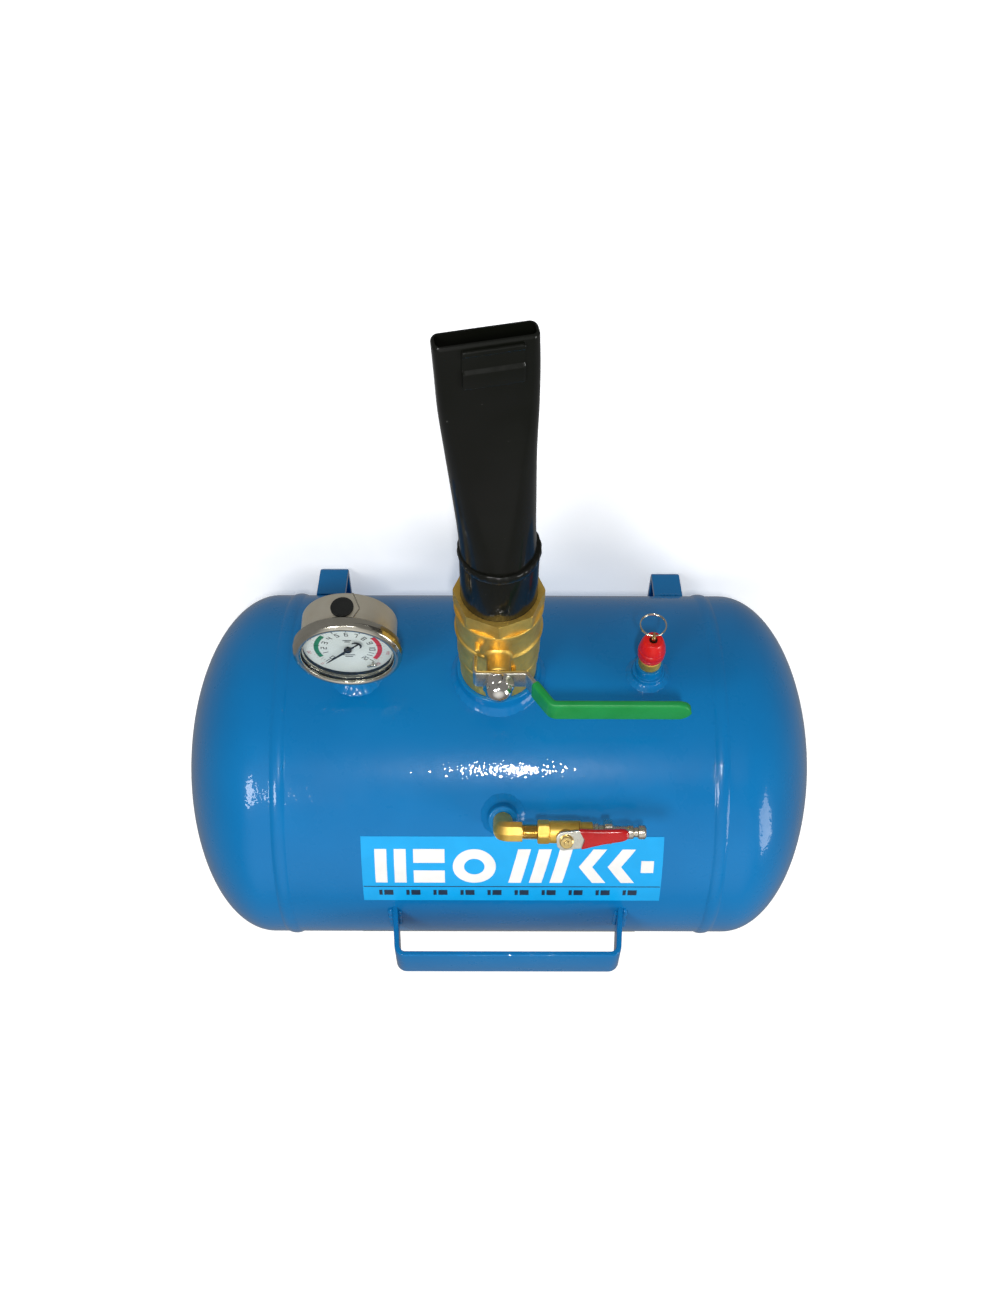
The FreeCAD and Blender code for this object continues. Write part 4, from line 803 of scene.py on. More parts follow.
def stem_tower():
    """Neck that flares into the round body, in the lever frame (z up the stem)."""
    segs, rings = 96, []
    levels = [23.6, 25.4, 26.4, 27.2, 27.8, 28.4, 29.2, 30.4, 32.6, 35.4, 38.2, 39.8, 40.15, 40.4]
    for z in levels:
        ring = []
        for a in around(segs):
            flare = 2.2 * exp(-max(0.0, z - 26.8) / 1.1) * (0.75 + 0.25 * abs(sin(a)))
            r = 7.6 + flare - max(0.0, z - 39.8) * 0.7
            ring.append((r * cos(a), r * sin(a), z))
        rings.append(ring)
    inner = [circle(4.3, z, segs) for z in (40.4, 23.6)]
    return loops(rings + inner, wrap=True)


piece("valve_casting", [valve_casting()], FWD_VALVE, "brass", node="valve_body", sharp=34)
piece("valve_tower", [stem_tower()], LEVER, "brass", sharp=50)
piece("valve_stops", [moved(block(3.2, 3.4, 21, 29, 0.8, 0.5), shift(13.4, -9.7, 0)), moved(block(3.2, 3.6,
        23, 29, 0.8, 0.5), shift(-9.6, 14.6, 0))], LEVER, "brass")
piece("valve_tail_turned", [lathe([(24.2, 117), (24.2, 134.3), (25.4, 134.3, .3), (25.4, 148, .5),
        (26.4, 151, .5), (26.4, 157.2, .6), (25.6, 157.95), (15.2, 157.95), (15.2, 117)], 160)], FWD_VALVE,
    "brass", node="valve_tail")
piece("gland", [lathe([(4.32, 38.5), (5.75, 38.5), (5.75, 40.45), (7.2, 40.45), (7.2, 41.2), (4.32, 41.2)],
        64, 0.15)], LEVER, "brass_turned", node="gland_ring")

# -------------------------------------------------------------- main lever
def lever_plate():
    """Pressed steel lever: stop tab, flat over the stem, crank and arm."""
    line = bent([(14.75, 27.5), (14.75, 42.85), (-17.5, 42.85), (-33.0, 65.25), (-60, 65.25)], 2.2, 6)
    tab = 14.0

    def width(fraction, total):
        run = fraction * total
        if run < tab:
            t = run / tab
            return 3.4 + 4.1 * min(1.0, max(0.0, (t - 0.15) / 0.75)) ** 1.6
        return 7.5
    return ribbon(line, width, 2.5, 0.45, 3)


piece("lever_plate", [lever_plate()], LEVER, "zinc_plate", body="main_lever", node="valve_lever")


def grip():
    """Vinyl sleeve dipped over the crank and the arm, with a rounded end."""
    middle = bent([(-22.5, 50.08), (-33.0, 65.25), (-118.4, 65.25)], 5.5, 10)

    def width(fraction, total):
        run, back = fraction * total, (1 - fraction) * total
        w = 8.25 + 0.05 * sin(run * 0.21)
        if back < 8.0:
            w = min(w, sqrt(max(0.3, 64.0 - (8.0 - back) ** 2)) * 8.2 / 8.0)
        if run < 0.6:
            w -= 0.35 * (1 - run / 0.6)
        return w
    fine = []
    for a, b in zip(middle, middle[1:]):
        steps = max(1, int(dist(a, b) / 0.7)) if b[0] < -108 or a[0] > -30 else 1
        fine += [(a[0] + (b[0] - a[0]) * k / steps, a[1] + (b[1] - a[1]) * k / steps) for k in range(steps)]
    fine.append(middle[-1])
    return ribbon(fine, width, 5.0, 1.9, 6)


piece("grip_sleeve", [grip()], LEVER, "green_vinyl", body="main_lever", node="lever_grip", sharp=60)
piece("washer", [lathe([(4.7, 44.1), (9.2, 44.1, .35), (9.2, 45.55, .5), (4.7, 45.55)], 96)], LEVER, "chrome",
    body="main_lever", node="lever_washer")


def cap_nut():
    """Hexagon with a domed cap."""
    hexagon = gon_radius(6, 2 * 10.2 * cos(pi / 6), 12.0, ease=0.3)
    dome = [(50.6, 9.1), (50.95, 8.65), (51.4, 8.45), (52.6, 8.38), (54.0, 8.05), (55.3, 7.3), (56.4, 6.2),
            (57.4, 4.7), (58.1, 2.9), (58.5, 1.1), (58.58, 0.02)]
    zs = [45.6, 45.8, 46.2, 47.0, 48.2, 49.2, 49.7, 50.1, 50.35, 50.6]
    zs += [z for z, _ in dome[1:]]

    def radius_at(angle, z):
        if z <= 50.6:
            cone = 10.2 - max(0.0, z - 49.2) * 0.7 - max(0.0, 46.2 - z) * 0.9
            return min(hexagon(angle), cone)
        return float(np.interp(z, [d[0] for d in dome], [d[1] for d in dome]))
    return field(zs, 144, radius_at)


piece("cap_nut", [cap_nut()], LEVER, "chrome", body="main_lever", node="lever_nut", sharp=40)
# ------------------------------------------------------------- blow barrel
piece("nipple_pipe", [lathe([(21.6, 208.6), (24.1, 208.6, .5), (24.15, 262.4), (21.6, 262.4)], 160)],
    FWD_VALVE, "black_paint", node="barrel_nipple")

SECTIONS = [
    (262, 46.2, 46.2, 22.4, 0.4, 0.0), (284, 46.0, 40.0, 19.2, 1.6, 3.0), (314, 47.6, 31.0, 14.6, 3.1, 6.0),
    (354, 50.5, 21.5, 9.6, 5.1, 9.5), (388, 53.8, 14.6, 6.2, 6.2, 11.5), (414, 54.3, 12.4, 4.6, 6.9, 11.5),
    (436, 54.3, 12.2, 4.4, 7.8, 11.5),
]


def smooth_at(v, column):
    """Smooth curve through one column of the section table."""
    vs = [s[0] for s in SECTIONS]
    ys = [s[column] for s in SECTIONS]
    i = min(max(int(np.searchsorted(vs, v)) - 1, 0), len(vs) - 2)
    slopes = np.gradient(ys, vs)
    h = vs[i + 1] - vs[i]
    t = (v - vs[i]) / h
    near = (2 * t ** 3 - 3 * t ** 2 + 1) * ys[i] + (t ** 3 - 2 * t ** 2 + t) * h * slopes[i]
    beyond = (-2 * t ** 3 + 3 * t ** 2) * ys[i + 1]
    return near + beyond + (t ** 3 - t ** 2) * h * slopes[i + 1]


def barrel_ring(v, inset=0.0, grow=0.0):
    width, height, corner, offset, roll = (smooth_at(v, c) for c in range(1, 6))
    w, h = width / 2 - inset + grow, height / 2 - inset + grow
    r = max(0.4, corner - inset + grow)
    ring = []
    for sx, sy, start in ((1, 1, 0), (-1, 1, 90), (-1, -1, 180), (1, -1, 270)):
        for k in range(13):
            a = radians(start + 90 * k / 12)
            ring.append((sx * (w - r) + r * cos(a), sy * (h - r) + r * sin(a)))
    full = []
    for i, p in enumerate(ring):
        q = ring[(i + 1) % len(ring)]
        full.append(p)
        if (i + 1) % 13 == 0:
            full += between(p, q, 8)[:-1]
    c, s = cos(radians(roll)), sin(radians(roll))
    out = []
    for x, y in full:
        hollow = 0.0
        if v > 300 and inset == 0.0:
            near = min(1.0, (v - 300) / 60) * min(1.0, max(0.0, (430 - v) / 14))
            hollow = 0.45 * near * exp(-(x / 13) ** 2) * (1 if y > 0 else -1)
        y -= hollow
        lump = 0.10 * waver(x * 0.07, y * 0.07, v * 0.035) if inset == 0 else 0
        out.append((offset + x * c - y * s, x * s + y * c + lump, v))
    return out


def nozzle():
    """Tube pressed from round to a flat slot, with its wall and bore."""
    vs = list(np.linspace(262.2, 430, 64)) + [432, 433.4, 434.2, 434.9, 435.4, 435.75]
    outer = [barrel_ring(v, grow=-max(0.0, v - 434.2) ** 2 * 0.22) for v in vs]
    outer += [[(x, y, 436.0) for x, y, _ in barrel_ring(435.9, grow=-0.72)]]
    inner = [[(x, y, 436.0 if v > 435 else v) for x, y, _ in barrel_ring(min(v, 435.99), inset=1.75)]
             for v in (436.0, 435.2, 430, 414, 388, 354, 314, 284, 262.2)]
    return loops(outer + inner, wrap=True)


piece("nozzle_shape", [nozzle()], FWD_VALVE, "black_paint", node="nozzle_tube", sharp=50)


def ring_weld():
    """Rippled bead where the flattened tube meets the pipe."""
    rings, segs = [], 220
    for k in range(segs):
        a = 2 * pi * k / segs
        wander = waver(cos(a) * 2.1, sin(a) * 2.1, 3.0)
        fast = waver(cos(a) * 7.0, sin(a) * 7.0, 8.0)
        beat = (k * 26 / segs) % 1
        scale = 1 + 0.16 * wander + 0.28 * (1 - (2 * beat - 1) ** 2) + 0.20 * fast
        mid = 264.0 + 0.9 * wander + 0.5 * fast
        ring = []
        for j in range(15):
            t = pi * j / 14
            r = 23.6 + 1.35 * scale * sin(t) ** 0.7
            ring.append((r * cos(a), r * sin(a), mid - 3.5 * cos(t) * (0.95 + 0.1 * wander)))
        ring += [(21.9 * cos(a), 21.9 * sin(a), mid + 3.4), (21.9 * cos(a), 21.9 * sin(a), 262.6)]
        rings.append(ring)
    return loops(rings, wrap=True)


piece("ring_weld", [ring_weld()], FWD_VALVE, "black_paint", node="barrel_weld", sharp=80)


def stop_plate():
    """Stepped plate across the nozzle with worn edges, lower near the mouth."""
    profile = eased([(3.6, 408), (8.6, 408, .8), (8.6, 418.6, .9), (6.95, 420.2, .7), (6.95, 428.8, .7),
                     (8.15, 430.4, .6), (8.15, 433.4, .9), (3.6, 433.4)], 0.3, 4)
    rings = []
    stations = [-15.95, -15.85, -15.6, -15.2] + list(np.linspace(-14.4, 14.4, 19)) + [15.2, 15.6, 15.85,
        15.95]
    for x in stations:
        end = max(0.0, abs(x) - 15.2)
        inset = end ** 2 * 1.1
        cy = sum(p[0] for p in profile) / len(profile)
        cv = sum(p[1] for p in profile) / len(profile)
        ring = []
        for h, v in profile:
            dh, dv = h - cy, v - cv
            length = hypot(dh, dv)
            wob = 0.12 * waver(x * 0.22, h * 0.9, v * 0.2)
            ring.append((x, h - dh / length * inset + wob, v - dv / length * inset))
        rings.append(ring)
    return loops(rings, capped=True)


piece("stop_plate", [stop_plate()], FWD_VALVE @ shift(4.9, -0.5, 0) @ rot(11.5, "Z"), "black_paint",
    node="rim_stop", sharp=45)


# ------------------------------------------------------------------- gauge
DIAL_Z = 17.5
piece("case_cup", [lathe([(0, -4.5), (30.5, -4.5, 1.8), (30.5, 19), (29.3, 19), (29.3, -3.3, 1.0), (0, -3.3)],
        192, 0.3, 6)], GAUGE, "stainless", node="gauge_case", sharp=50)


def case_seam():
    """Folded joint of the case wall: runs down, jogs round the plug and down again."""
    line = bent([(-6.0, 17.2), (-10.9, 7.0), (-6.0, -4.0)], 2.5, 6)
    path = []
    for offset, z in line:
        a = radians(-90) + offset / 30.5
        path.append((30.5 * cos(a), 30.5 * sin(a), z))
    return tube(path, 0.38, 10)


piece("case_seam", [case_seam()], GAUGE @ rot(3, "Z"), "bezel_steel", sharp=70)
BEZEL = [(30.55, 16.9, .2), (34.3, 16.9, .5), (35.0, 17.9, .5), (35.0, 21.2, 1.6), (34.2, 23.8, 1.8),
    (32.2, 25.4, 1.7), (30.5, 25.3, .7), (29.6, 24.6, .4), (29.4, 23.75, .2), (30.55, 23.75, .1)]
piece("bezel_ring", [lathe(BEZEL, 220, 0.4, 6)], GAUGE, "bezel_steel", node="gauge_bezel", sharp=60)
piece("seal_ring", [lathe([(28.4, 17.55), (29.26, 17.55), (29.26, 19.02), (30.38, 19.02), (30.38, 21.68),
        (29.3, 21.68), (29.3, 20.0), (28.4, 19.8, .3)], 160, 0.15)], GAUGE, "black_rubber", node="gauge_seal")
piece("inner_lip", [lathe([(28.3, 20.1), (29.2, 20.1), (29.2, 21.6), (28.9, 21.6)], 160, 0.1)], GAUGE,
    "bezel_steel")
piece("dial_plate", [lathe([(1.6, 16.6), (29.2, 16.6), (29.2, 17.5), (1.6, 17.5)], 160, 0.1)], GAUGE,
    "dial_white", node="gauge_dial")
DIAL_ZERO, DIAL_TURN = 45.0, 270.0


def printed(outline, z=DIAL_Z, thick=0.06):
    """Flat-topped patch of print just above the dial."""
    n = len(outline)
    verts = [(x, y, z - 0.03) for x, y in outline] + [(x, y, z + thick) for x, y in outline]
    faces = [tuple(range(n))[::-1], tuple(range(n, 2 * n))]
    faces += [(k, (k + 1) % n, n + (k + 1) % n, n + k) for k in range(n)]
    return verts, faces


def dial_arc(r0, r1, start, end, steps=28):
    """Band on the dial between two clockwise readings given in degrees from the rest position."""
    parts = []
    for i in range(steps):
        a, b = (radians(DIAL_ZERO - (start + (end - start) * k / steps)) for k in (i, i + 1))
        parts.append(printed([(r1 * cos(a), r1 * sin(a)), (r1 * cos(b), r1 * sin(b)),
                              (r0 * cos(b), r0 * sin(b)), (r0 * cos(a), r0 * sin(a))]))
    return parts


def dial_tick(reading, r0, r1, width):
    """Straight mark on the dial from one radius to another."""
    a = radians(DIAL_ZERO - reading)
    c, s, w = cos(a), sin(a), width / 2
    return printed([(r0 * c + w * s, r0 * s - w * c), (r1 * c + w * s, r1 * s - w * c),
                    (r1 * c - w * s, r1 * s + w * c), (r0 * c - w * s, r0 * s + w * c)])


SEGMENTS = {"0": "abcdef", "1": "bc", "2": "abged", "3": "abgcd", "4": "fgbc", "5": "afgcd", "6": "afgedc",
            "7": "abc", "8": "abcdefg", "9": "abcdfg"}
STROKES = {"a": (-.5, .5, .5, .5), "b": (.5, .5, .5, 0), "c": (.5, 0, .5, -.5), "d": (-.5, -.5, .5, -.5),
           "e": (-.5, 0, -.5, -.5), "f": (-.5, .5, -.5, 0), "g": (-.5, 0, .5, 0)}


def dial_number(text, x, y, turn, high=2.9, stroke=0.42):
    """Plain stroke figures, standing upright along the given turn."""
    parts = []
    wide = high * 0.55
    c, s = cos(turn), sin(turn)
    for i, digit in enumerate(text):
        left = (i - (len(text) - 1) / 2) * wide * 1.65
        for key in SEGMENTS[digit]:
            x0, y0, x1, y1 = STROKES[key]
            ax, ay, bx, by = left + x0 * wide, y0 * high, left + x1 * wide, y1 * high
            length = hypot(bx - ax, by - ay)
            ux, uy = (bx - ax) / length * stroke / 2, (by - ay) / length * stroke / 2
            corners = [(ax - ux + uy, ay - uy - ux), (bx + ux + uy, by + uy - ux),
                       (bx + ux - uy, by + uy + ux), (ax - ux - uy, ay - uy + ux)]
            parts.append(printed([(x + px * c - py * s, y + px * s + py * c) for px, py in corners]))
    return parts


black_print, red_print, fine_print = [], [], []
for i in range(51):
    reading = DIAL_TURN * i / 50
    if i % 5 == 0:
        black_print.append(dial_tick(reading, 18.2, 22.0, 0.55 if i % 10 == 0 else 0.4))
    else:
        black_print.append(dial_tick(reading, 20.2, 22.0, 0.22))
for i in range(0, 13):
    a = radians(DIAL_ZERO - DIAL_TURN * i / 12)
    r = 15.4
    black_print += dial_number(str(i), r * cos(a), r * sin(a), a - pi / 2, 3.4, 0.52)
for i in range(0, 9):
    a = radians(DIAL_ZERO - DIAL_TURN * i / 8)
    r = 25.6
    red_print += dial_number(str(20 * i), r * cos(a), r * sin(a), a - pi / 2, 1.9, 0.30)
for i in range(33):
    reading = DIAL_TURN * i / 32
    fine_print.append(dial_tick(reading, 22.6, 23.6, 0.16))
for row, (wide, y) in enumerate(((5.0, 9.2), (8.0, 7.4), (3.5, -7.5), (5.5, -9.0))):
    black_print.append(printed([(-wide / 2, y), (wide / 2, y), (wide / 2, y + 0.8), (-wide / 2, y + 0.8)]))
piece("dial_marks", black_print, GAUGE, "pointer_black", smooth=False)
piece("dial_outer_scale", red_print + fine_print, GAUGE, "dial_pink", smooth=False)
piece("dial_green_band", dial_arc(18.7, 21.7, 16, 87), GAUGE, "dial_green", smooth=False)
piece("dial_red_band", dial_arc(18.7, 21.7, 189, 262), GAUGE, "dial_red", smooth=False)
piece("stop_pin", [moved(lathe([(0, 17.4), (0.75, 17.4), (0.75, 20.3, .3), (0, 20.3)], 32),
        shift(-14.6, 16.4, 0)), moved(block(6.8, 1.6, 19.5, 20.7, 0.75, 0.3), shift(-14.2, 16.6, 0) @ rot(18,
        "Z"))], GAUGE, "bezel_steel")


def needle():
    """Tapered pointer with a hub and a crescent counterweight."""
    blade = [(-6.0, -0.55), (3, -0.95), (18.5, -0.42), (21.5, 0), (18.5, 0.42), (3, 0.95), (-6.0, 0.55)]
    parts = [slab(blade, 19.3, 19.75, 0.12)]
    outer = [(-7.6 + 3.9 * cos(radians(t)), 3.9 * sin(radians(t))) for t in range(100, 261, 10)]
    inner = [(-7.0 + 2.9 * cos(radians(t)), 3.3 * sin(radians(t))) for t in range(260, 99, -10)]
    parts.append(slab(outer + inner, 19.3, 19.75, 0.1))
    parts.append(slab([(-10.6, -0.5), (-5.5, -0.5), (-5.5, 0.5), (-10.6, 0.5)], 19.3, 19.75, 0.1))
    parts.append(lathe([(0, 18.9), (2.5, 18.9, .2), (2.5, 19.9, .3), (1.5, 20.6, .4), (0, 20.7)], 48))
    parts.append(lathe([(0, 8.6), (0.85, 8.6), (0.85, 19.0), (0, 19.0)], 24))
    return parts


piece("needle", needle(), GAUGE @ rot(45, "Z"), "pointer_black", body="gauge_needle", node="gauge_pointer")
piece("plug_cap", [lathe([(0, 28.6), (5.65, 28.6), (5.65, 30.6), (7.25, 30.6, .3), (7.25, 31.8, .6),
        (6.7, 32.2, .3), (5.9, 31.95, .3), (0, 32.1)], 96)], GAUGE @ shift(0, 0, 7.5) @ rot(3, "Z") @ rot(90,
    "X"), "black_rubber", node="fill_plug")
SOCKET = GAUGE @ rot(-90, "X")
piece("socket_hex", [nut(6, 14.0, 30.55, 44.15, bore=1.4, chamfer=0.9), thread(44.1, 57.1, 6.48, 1.3, 0.7,
        bore=1.4)], SOCKET, "brass_turned", node="gauge_socket")

# ------------------------------------------------------------ safety valve
SAFETY = forward_at(SAFETY_X)
piece("relief_base", [lathe([(2.0, 124), (5.6, 124), (6.2, 124.6), (6.2, 138.02), (7.4, 138.02, .3),
        (7.6, 139.6, .3), (7.6, 145.95, .4), (5.55, 145.95), (5.55, 157.9), (4.15, 157.9), (4.15, 128),
        (2.0, 128)], 96, 0.15)], SAFETY, "brass", node="safety_body")
CAP = [(5.63, 146.05, .1), (7.3, 146.05, .3), (8.2, 147.8, .9), (8.75, 149.6, .3), (8.72, 150.3, .25),
    (8.38, 150.55, .1), (8.38, 151.0, .1), (8.8, 151.3, .3), (9.08, 152.6, .9), (9.08, 155.0, .9),
    (8.85, 156.4, .3), (8.42, 156.7, .1), (8.42, 157.15, .1), (8.7, 157.45, .2), (8.6, 158.6, .5),
    (7.95, 161.6, 1.6), (6.8, 165.2, .9), (6.0, 166.55, .8), (2.75, 166.6, .4), (2.75, 163.6, .2),
    (1.58, 163.6, .1), (1.58, 161.7, .1), (5.63, 161.7, .1)]
piece("relief_cap", [lathe(CAP, 144, 0.2, 5)], SAFETY, "red_anodised", node="safety_cap")
# Ring lining the cap's bore, coloured near black: painted shade inside the hole.
piece("cap_hole_rim", [lathe([(1.6, 163.62), (2.72, 163.62), (2.72, 165.9), (2.6, 165.9), (2.55, 163.9),
        (1.6, 163.9)], 64, 0.05)], SAFETY, "painted_hole_shade")


def eye():
    """Wire loop at the end of the pull rod: a hook bent round and back on itself."""
    path = []
    for k in range(33):
        t = radians(-200 + 330 * k / 32)
        path.append((0.15 * sin(t), 1.95 * sin(t), 170.5 - 1.95 * cos(t)))
    return tube(path, 0.72, 14)


piece("relief_rod", [lathe([(0, 128.1), (3.55, 128.1), (3.55, 130.4), (1.5, 130.4), (1.5, 168.6), (0, 168.9)],
        48, 0.15), eye(), moved(thread(0, 3.6, 1.5, 0.55, 0.2), shift(0, 0, 163.9))], SAFETY, "brass_turned",
    body="safety_rod", node="safety_stem", sharp=60)


def split_ring():
    """Two turns of flattened wire side by side, joined by a short crossing."""
    path = []
    for k in range(161):
        t = 2 * pi * 1.9 * k / 160
        cross = 0.42 * tanh((t - 2 * pi * 0.95) * 2.2)
        path.append((8.5 * sin(t), 8.5 * cos(t), cross))
    return tube(path, 0.46, 12)


piece("split_ring", [split_ring()], SAFETY @ shift(0, -8.9, 170.5), "ring_wire", body="safety_ring",
    node="pull_ring", sharp=70)

# --------------------------------------------------------------- air inlet
ELBOW = TANK @ INLET @ shift(INLET_X, 0, 158.0)


def elbow():
    """Cast elbow: an eight-sided run meeting a round leg in a rounded corner."""
    octagon = gon_radius(8, 12.4, 0.0, ease=0.0)
    rings = []
    segs = 96
    bend_r = 3.6

    def ring_at(centre, along_x, along_z, shape):
        """Section across the run, whose in-plane direction is (along_x, along_z)."""
        out = []
        for a in around(segs):
            u, w = shape(a) * cos(a), shape(a) * sin(a)
            out.append((centre[0] + u * along_x, w, centre[1] + u * along_z))
        return out

    for z, size in ((-20.9, 5.9), (-20.4, 6.35), (-13, 6.4), (-9, 6.45)):
        rings.append(ring_at((0, z), 1, 0, lambda a, r=size: r))
    for k in range(17):
        t = radians(90 * k / 16)
        cx, cz = -bend_r * (1 - cos(t)), bend_r * sin(t) - bend_r
        mixed = min(1.0, k / 9)

        def shape(a, m=mixed):
            return (1 - m) * 6.45 + m * octagon(a)
        rings.append(ring_at((cx, cz), cos(t), sin(t), shape))
    for x in (-5, -9, -11.7, -12.0, -12.25):
        trim = max(0.0, -x - 11.7)
        rings.append(ring_at((x, 0), 0, 1, lambda a, q=trim: min(octagon(a), 6.75 - q * 0.7)))
    return loops(rings, capped=True)


piece("elbow_cast", [elbow()], ELBOW, "brass", node="inlet_elbow", sharp=28)
piece("elbow_threads", [moved(thread(-12.2, 0.5, 5.18, 1.3, 0.6), shift(0, 0, -20.9)), moved(thread(0, 16.5,
        5.2, 1.2, 0.8, segs=64, per_pitch=10), shift(-12.0, 0, 0) @ rot(-90, "Y"))], ELBOW, "brass_turned",
    sharp=30)
piece("mini_body", [nut(6, 2 * 8.1 * cos(pi / 6), 24.0, 31.8, bore=5.25, chamfer=0.7, turn=0),
    lathe([(5.6, 31.7), (7.0, 31.7, .2), (7.3, 32.4, .3), (7.3, 50.6, .5), (5.6, 50.6)], 96)], PIPE, "brass",
    node="inlet_valve_body")
piece("mini_collar", [lathe([(4.0, 5.6), (5.0, 5.6), (4.6, 8.4, 1.0), (4.3, 11.6, .3), (1.9, 11.6),
        (1.9, 5.6)], 64)], MINI_LEVER, "brass")
piece("mini_cap", [lathe([(2.6, 50.7), (7.15, 50.7, .25), (7.15, 51.6, .3), (6.5, 52.0, .2), (6.5, 59.1, .6),
        (5.05, 59.8, .2), (5.05, 53.1), (2.6, 53.1)], 96)], PIPE, "brass", node="inlet_valve_cap")
mini_outline = eased([(6.3, -3.4, 2.4), (6.3, 3.4, 2.4), (3.4, 6.3, 2.4), (-7.5, 6.2, 3), (-13, 5.3, 6),
    (-37.5, 3.0, 1), (-37.5, -3.0, 1), (-13, -5.3, 6), (-7.5, -6.2, 3), (3.4, -6.3, 2.4)], 1.0, 6)
piece("mini_plate", [slab(mini_outline, 12.2, 13.7, 0.35)], MINI_LEVER, "zinc_plate", body="inlet_lever_body",
    node="inlet_lever")


def mini_grip():
    """Dipped sleeve, wide and flared at the open end with a V-shaped lip."""
    rings = []
    stations = [-8.8, -9.2, -10, -11.5, -13, -15, -18, -22, -26, -30, -33, -35.5, -37.4, -38.8, -39.6, -39.95]
    widths = [6.7, 6.95, 6.9, 6.7, 6.45, 6.15, 5.7, 5.15, 4.75, 4.45, 4.3, 4.15, 3.7, 2.8, 1.7, 0.7]
    heights = [2.0, 2.25, 2.3, 2.25, 2.15, 2.1, 2.1, 2.15, 2.25, 2.35, 2.4, 2.4, 2.2, 1.75, 1.15, 0.5]
    segs = 48
    for i, (x, w, h) in enumerate(zip(stations, widths, heights)):
        ring = []
        for k in range(segs):
            a = 2 * pi * k / segs
            c, s = cos(a), sin(a)
            y = w * copysign(abs(c) ** 0.55, c)
            z = 12.95 + h * copysign(abs(s) ** 0.75, s)
            pull = max(0.0, 1 - i / 6) * 3.0 * (1 - abs(y) / w) ** 1.2
            wob = 0.10 * waver(x * 0.2, y * 0.3, z * 0.5)
            ring.append((x - pull, y + wob, z + wob))
        rings.append(ring)
    return loops(rings, capped=True)


piece("mini_sleeve", [mini_grip()], MINI_LEVER, "red_vinyl", body="inlet_lever_body", node="inlet_grip",
    sharp=70)
piece("mini_nut", [nut(6, 7.9, 13.75, 16.6, chamfer=0.6, both=False, turn=10, segs=96), lathe([(0, 13.7),
        (4.6, 13.7), (4.6, 14.0, .1), (0, 14.0)], 64, 0.1), lathe([(0, 16.5), (1.75, 16.5), (1.75, 17.5, .5),
        (0, 17.6)], 32)], MINI_LEVER, "brass_turned", body="inlet_lever_body", node="inlet_nut")
NOSE = [(2.6, 53.15, .1), (4.98, 53.15, .2), (4.98, 60.4, .2), (6.0, 60.6, .3), (6.0, 62.6, .4),
    (5.0, 63.2, .3), (5.0, 66.4, .2), (4.6, 66.6, .1), (4.6, 73.2, .3), (4.1, 73.9, .3), (4.1, 81.2, .3),
    (4.6, 82.1, .3), (4.6, 85.2, .3), (3.4, 86.1, .4), (3.4, 88.1, .4), (4.6, 88.9, .3), (4.6, 92.6, .4),
    (3.75, 93.65, .4), (2.6, 93.65, .3)]
piece("quick_plug_turned", [lathe(NOSE, 96, 0.2, 5), nut(6, 2 * 8.1 * cos(pi / 6), 66.5, 72.1, bore=4.5,
        chamfer=0.8, turn=0)], PIPE, "plated_steel", node="quick_plug")

# ------------------------------------------------ floor, lights and camera
paper = plastic("paper floor", (0.80, 0.80, 0.80), (0.84, 0.84, 0.84), 0.8, wave=400, depth=0.02)
paper_shader = next(n for n in paper.node_tree.nodes if n.type == "BSDF_PRINCIPLED")
paper_shader.inputs["Emission Color"].default_value = (1, 1, 1, 1)
paper_shader.inputs["Emission Strength"].default_value = 0.42
paper_shader.inputs["Specular IOR Level"].default_value = 0.1
FLOOR_HALF, FLOOR_DROP = 14.0, 0.0004
floor_mesh = bpy.data.meshes.new("floor")
floor_corners = [(FLOOR_HALF * x, FLOOR_HALF * y, -FLOOR_DROP) for x, y in ((-1, -1), (1, -1), (1, 1),
    (-1, 1))]
floor_mesh.from_pydata(floor_corners, [], [(0, 1, 2, 3)])
floor_mesh.materials.append(paper)
floor = bpy.data.objects.new("floor", floor_mesh)
bpy.context.scene.collection.objects.link(floor)
# The photograph's background is a flat white that throws no light back onto the tank.
floor.visible_glossy = False
floor.visible_diffuse = False
floor.visible_shadow = False


def lamp(name, place, aim, size, power, mirrored=True):
    """Area lamp in metres and watts; an unmirrored one stays out of reflections."""
    light = bpy.data.lights.new(name, "AREA")
    light.shape = "RECTANGLE"
    light.size, light.size_y = size
    light.energy = power
    obj = bpy.data.objects.new(name, light)
    bpy.context.scene.collection.objects.link(obj)
    obj.location = place
    obj.rotation_euler = (Vector(aim) - Vector(place)).to_track_quat("-Z", "Y").to_euler()
    obj.visible_glossy = mirrored


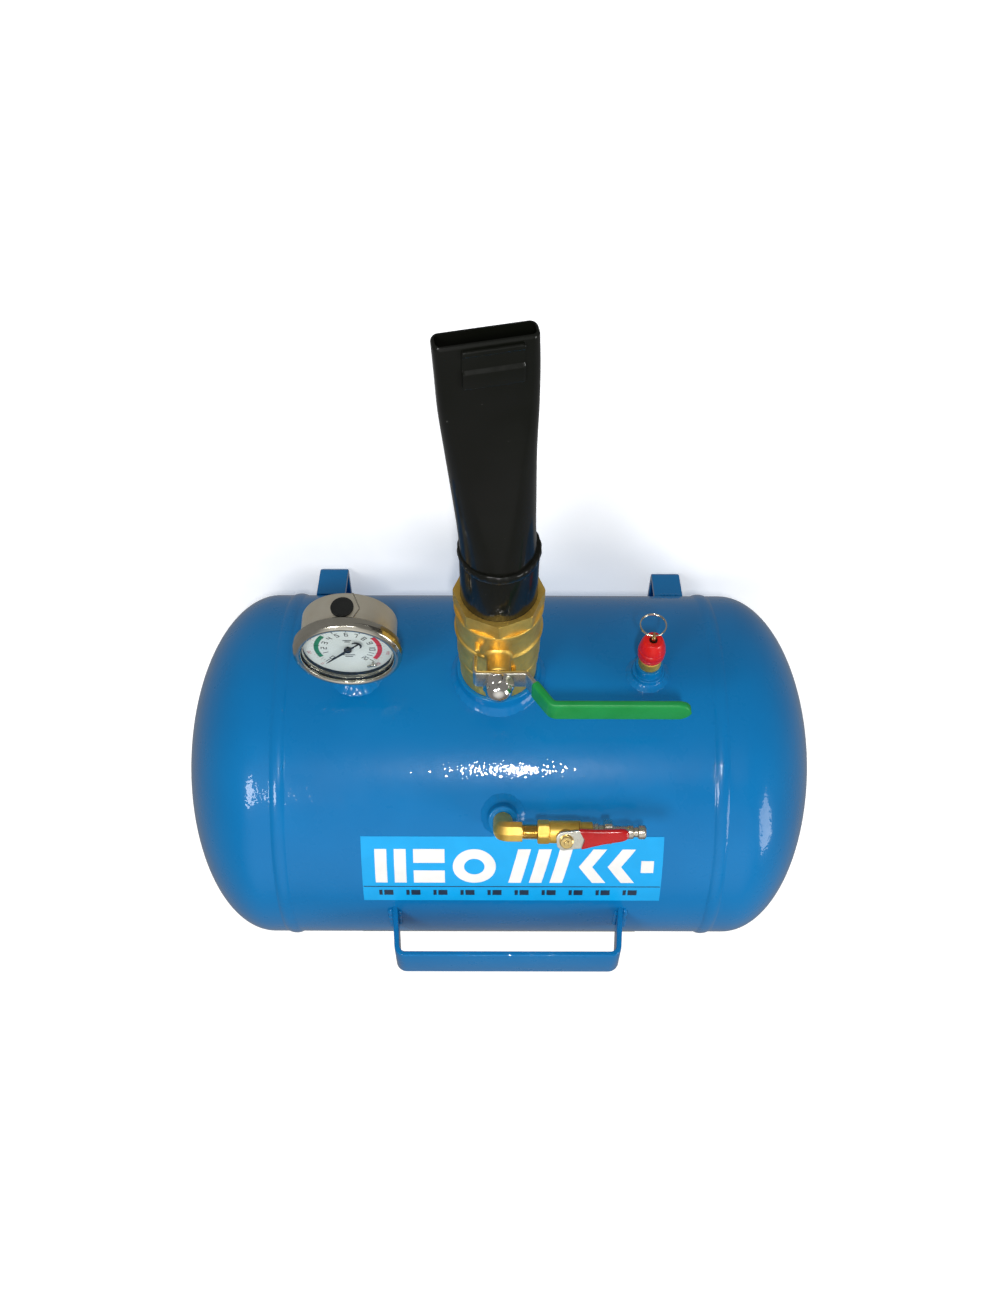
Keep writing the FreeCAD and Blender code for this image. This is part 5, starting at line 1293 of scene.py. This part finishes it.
lamp("key softbox", (-0.03, -1.22, 1.05), (0.0, 0.05, 0.20), (0.04, 0.11), 10.5)
lamp("right softbox", (0.68, -0.92, 1.36), (0.0, 0.15, 0.15), (0.40, 0.42), 12)
lamp("left softbox", (-1.35, 0.05, 1.05), (0.0, 0.15, 0.15), (0.8, 0.5), 10)
lamp("fill from below", (0.0, -0.1, -1.2), (0.0, -0.1, 0.2), (3.0, 3.0), 17, mirrored=False)
lamp("floor wash", (0.0, 3.2, 1.5), (0.0, 3.3, 0.0), (5.0, 2.5), 45, mirrored=False)

world = bpy.data.worlds.new("studio")
world.use_nodes = True
bpy.context.scene.world = world
sky = world.node_tree
backdrop = next(n for n in sky.nodes if n.type == "BACKGROUND")
direction = sky.nodes.new("ShaderNodeTexCoord")
split = sky.nodes.new("ShaderNodeSeparateXYZ")
sky.links.new(direction.outputs["Generated"], split.inputs[0])
glow = sky.nodes.new("ShaderNodeValToRGB")
bands = glow.color_ramp.elements
bands.new(0.75)
for band, (height, grey) in zip(bands, ((0.0, 0.24), (0.76, 0.22), (1.0, 1.0))):
    band.position = height
    band.color = (grey, grey, grey, 1)
sky.links.new(split.outputs["Z"], glow.inputs["Fac"])
sky.links.new(glow.outputs["Color"], backdrop.inputs["Color"])
backdrop.inputs["Strength"].default_value = 1.0

# The camera looks down on the front at the photograph's angle, and is turned upside down as the picture is.
EYE = Vector((4.35, -762.95, 636.37)) * MM
VIEW_DOWN, VIEW_ASIDE = radians(33.1632), radians(0.3114)
camera_data = bpy.data.cameras.new("view")
camera_data.lens = 38.3
camera_data.sensor_width = 36
camera = bpy.data.objects.new("view", camera_data)
bpy.context.scene.collection.objects.link(camera)
look = Vector((-cos(VIEW_DOWN) * sin(VIEW_ASIDE), cos(VIEW_DOWN) * cos(VIEW_ASIDE), -sin(VIEW_DOWN)))
side = look.cross(Vector((0, 0, 1))).normalized()
above = side.cross(look)
pose = Matrix((-side, -above, -look)).transposed().to_4x4()
pose.translation = EYE
camera.matrix_world = pose
bpy.context.scene.camera = camera
bpy.context.scene.view_settings.view_transform = "Standard"
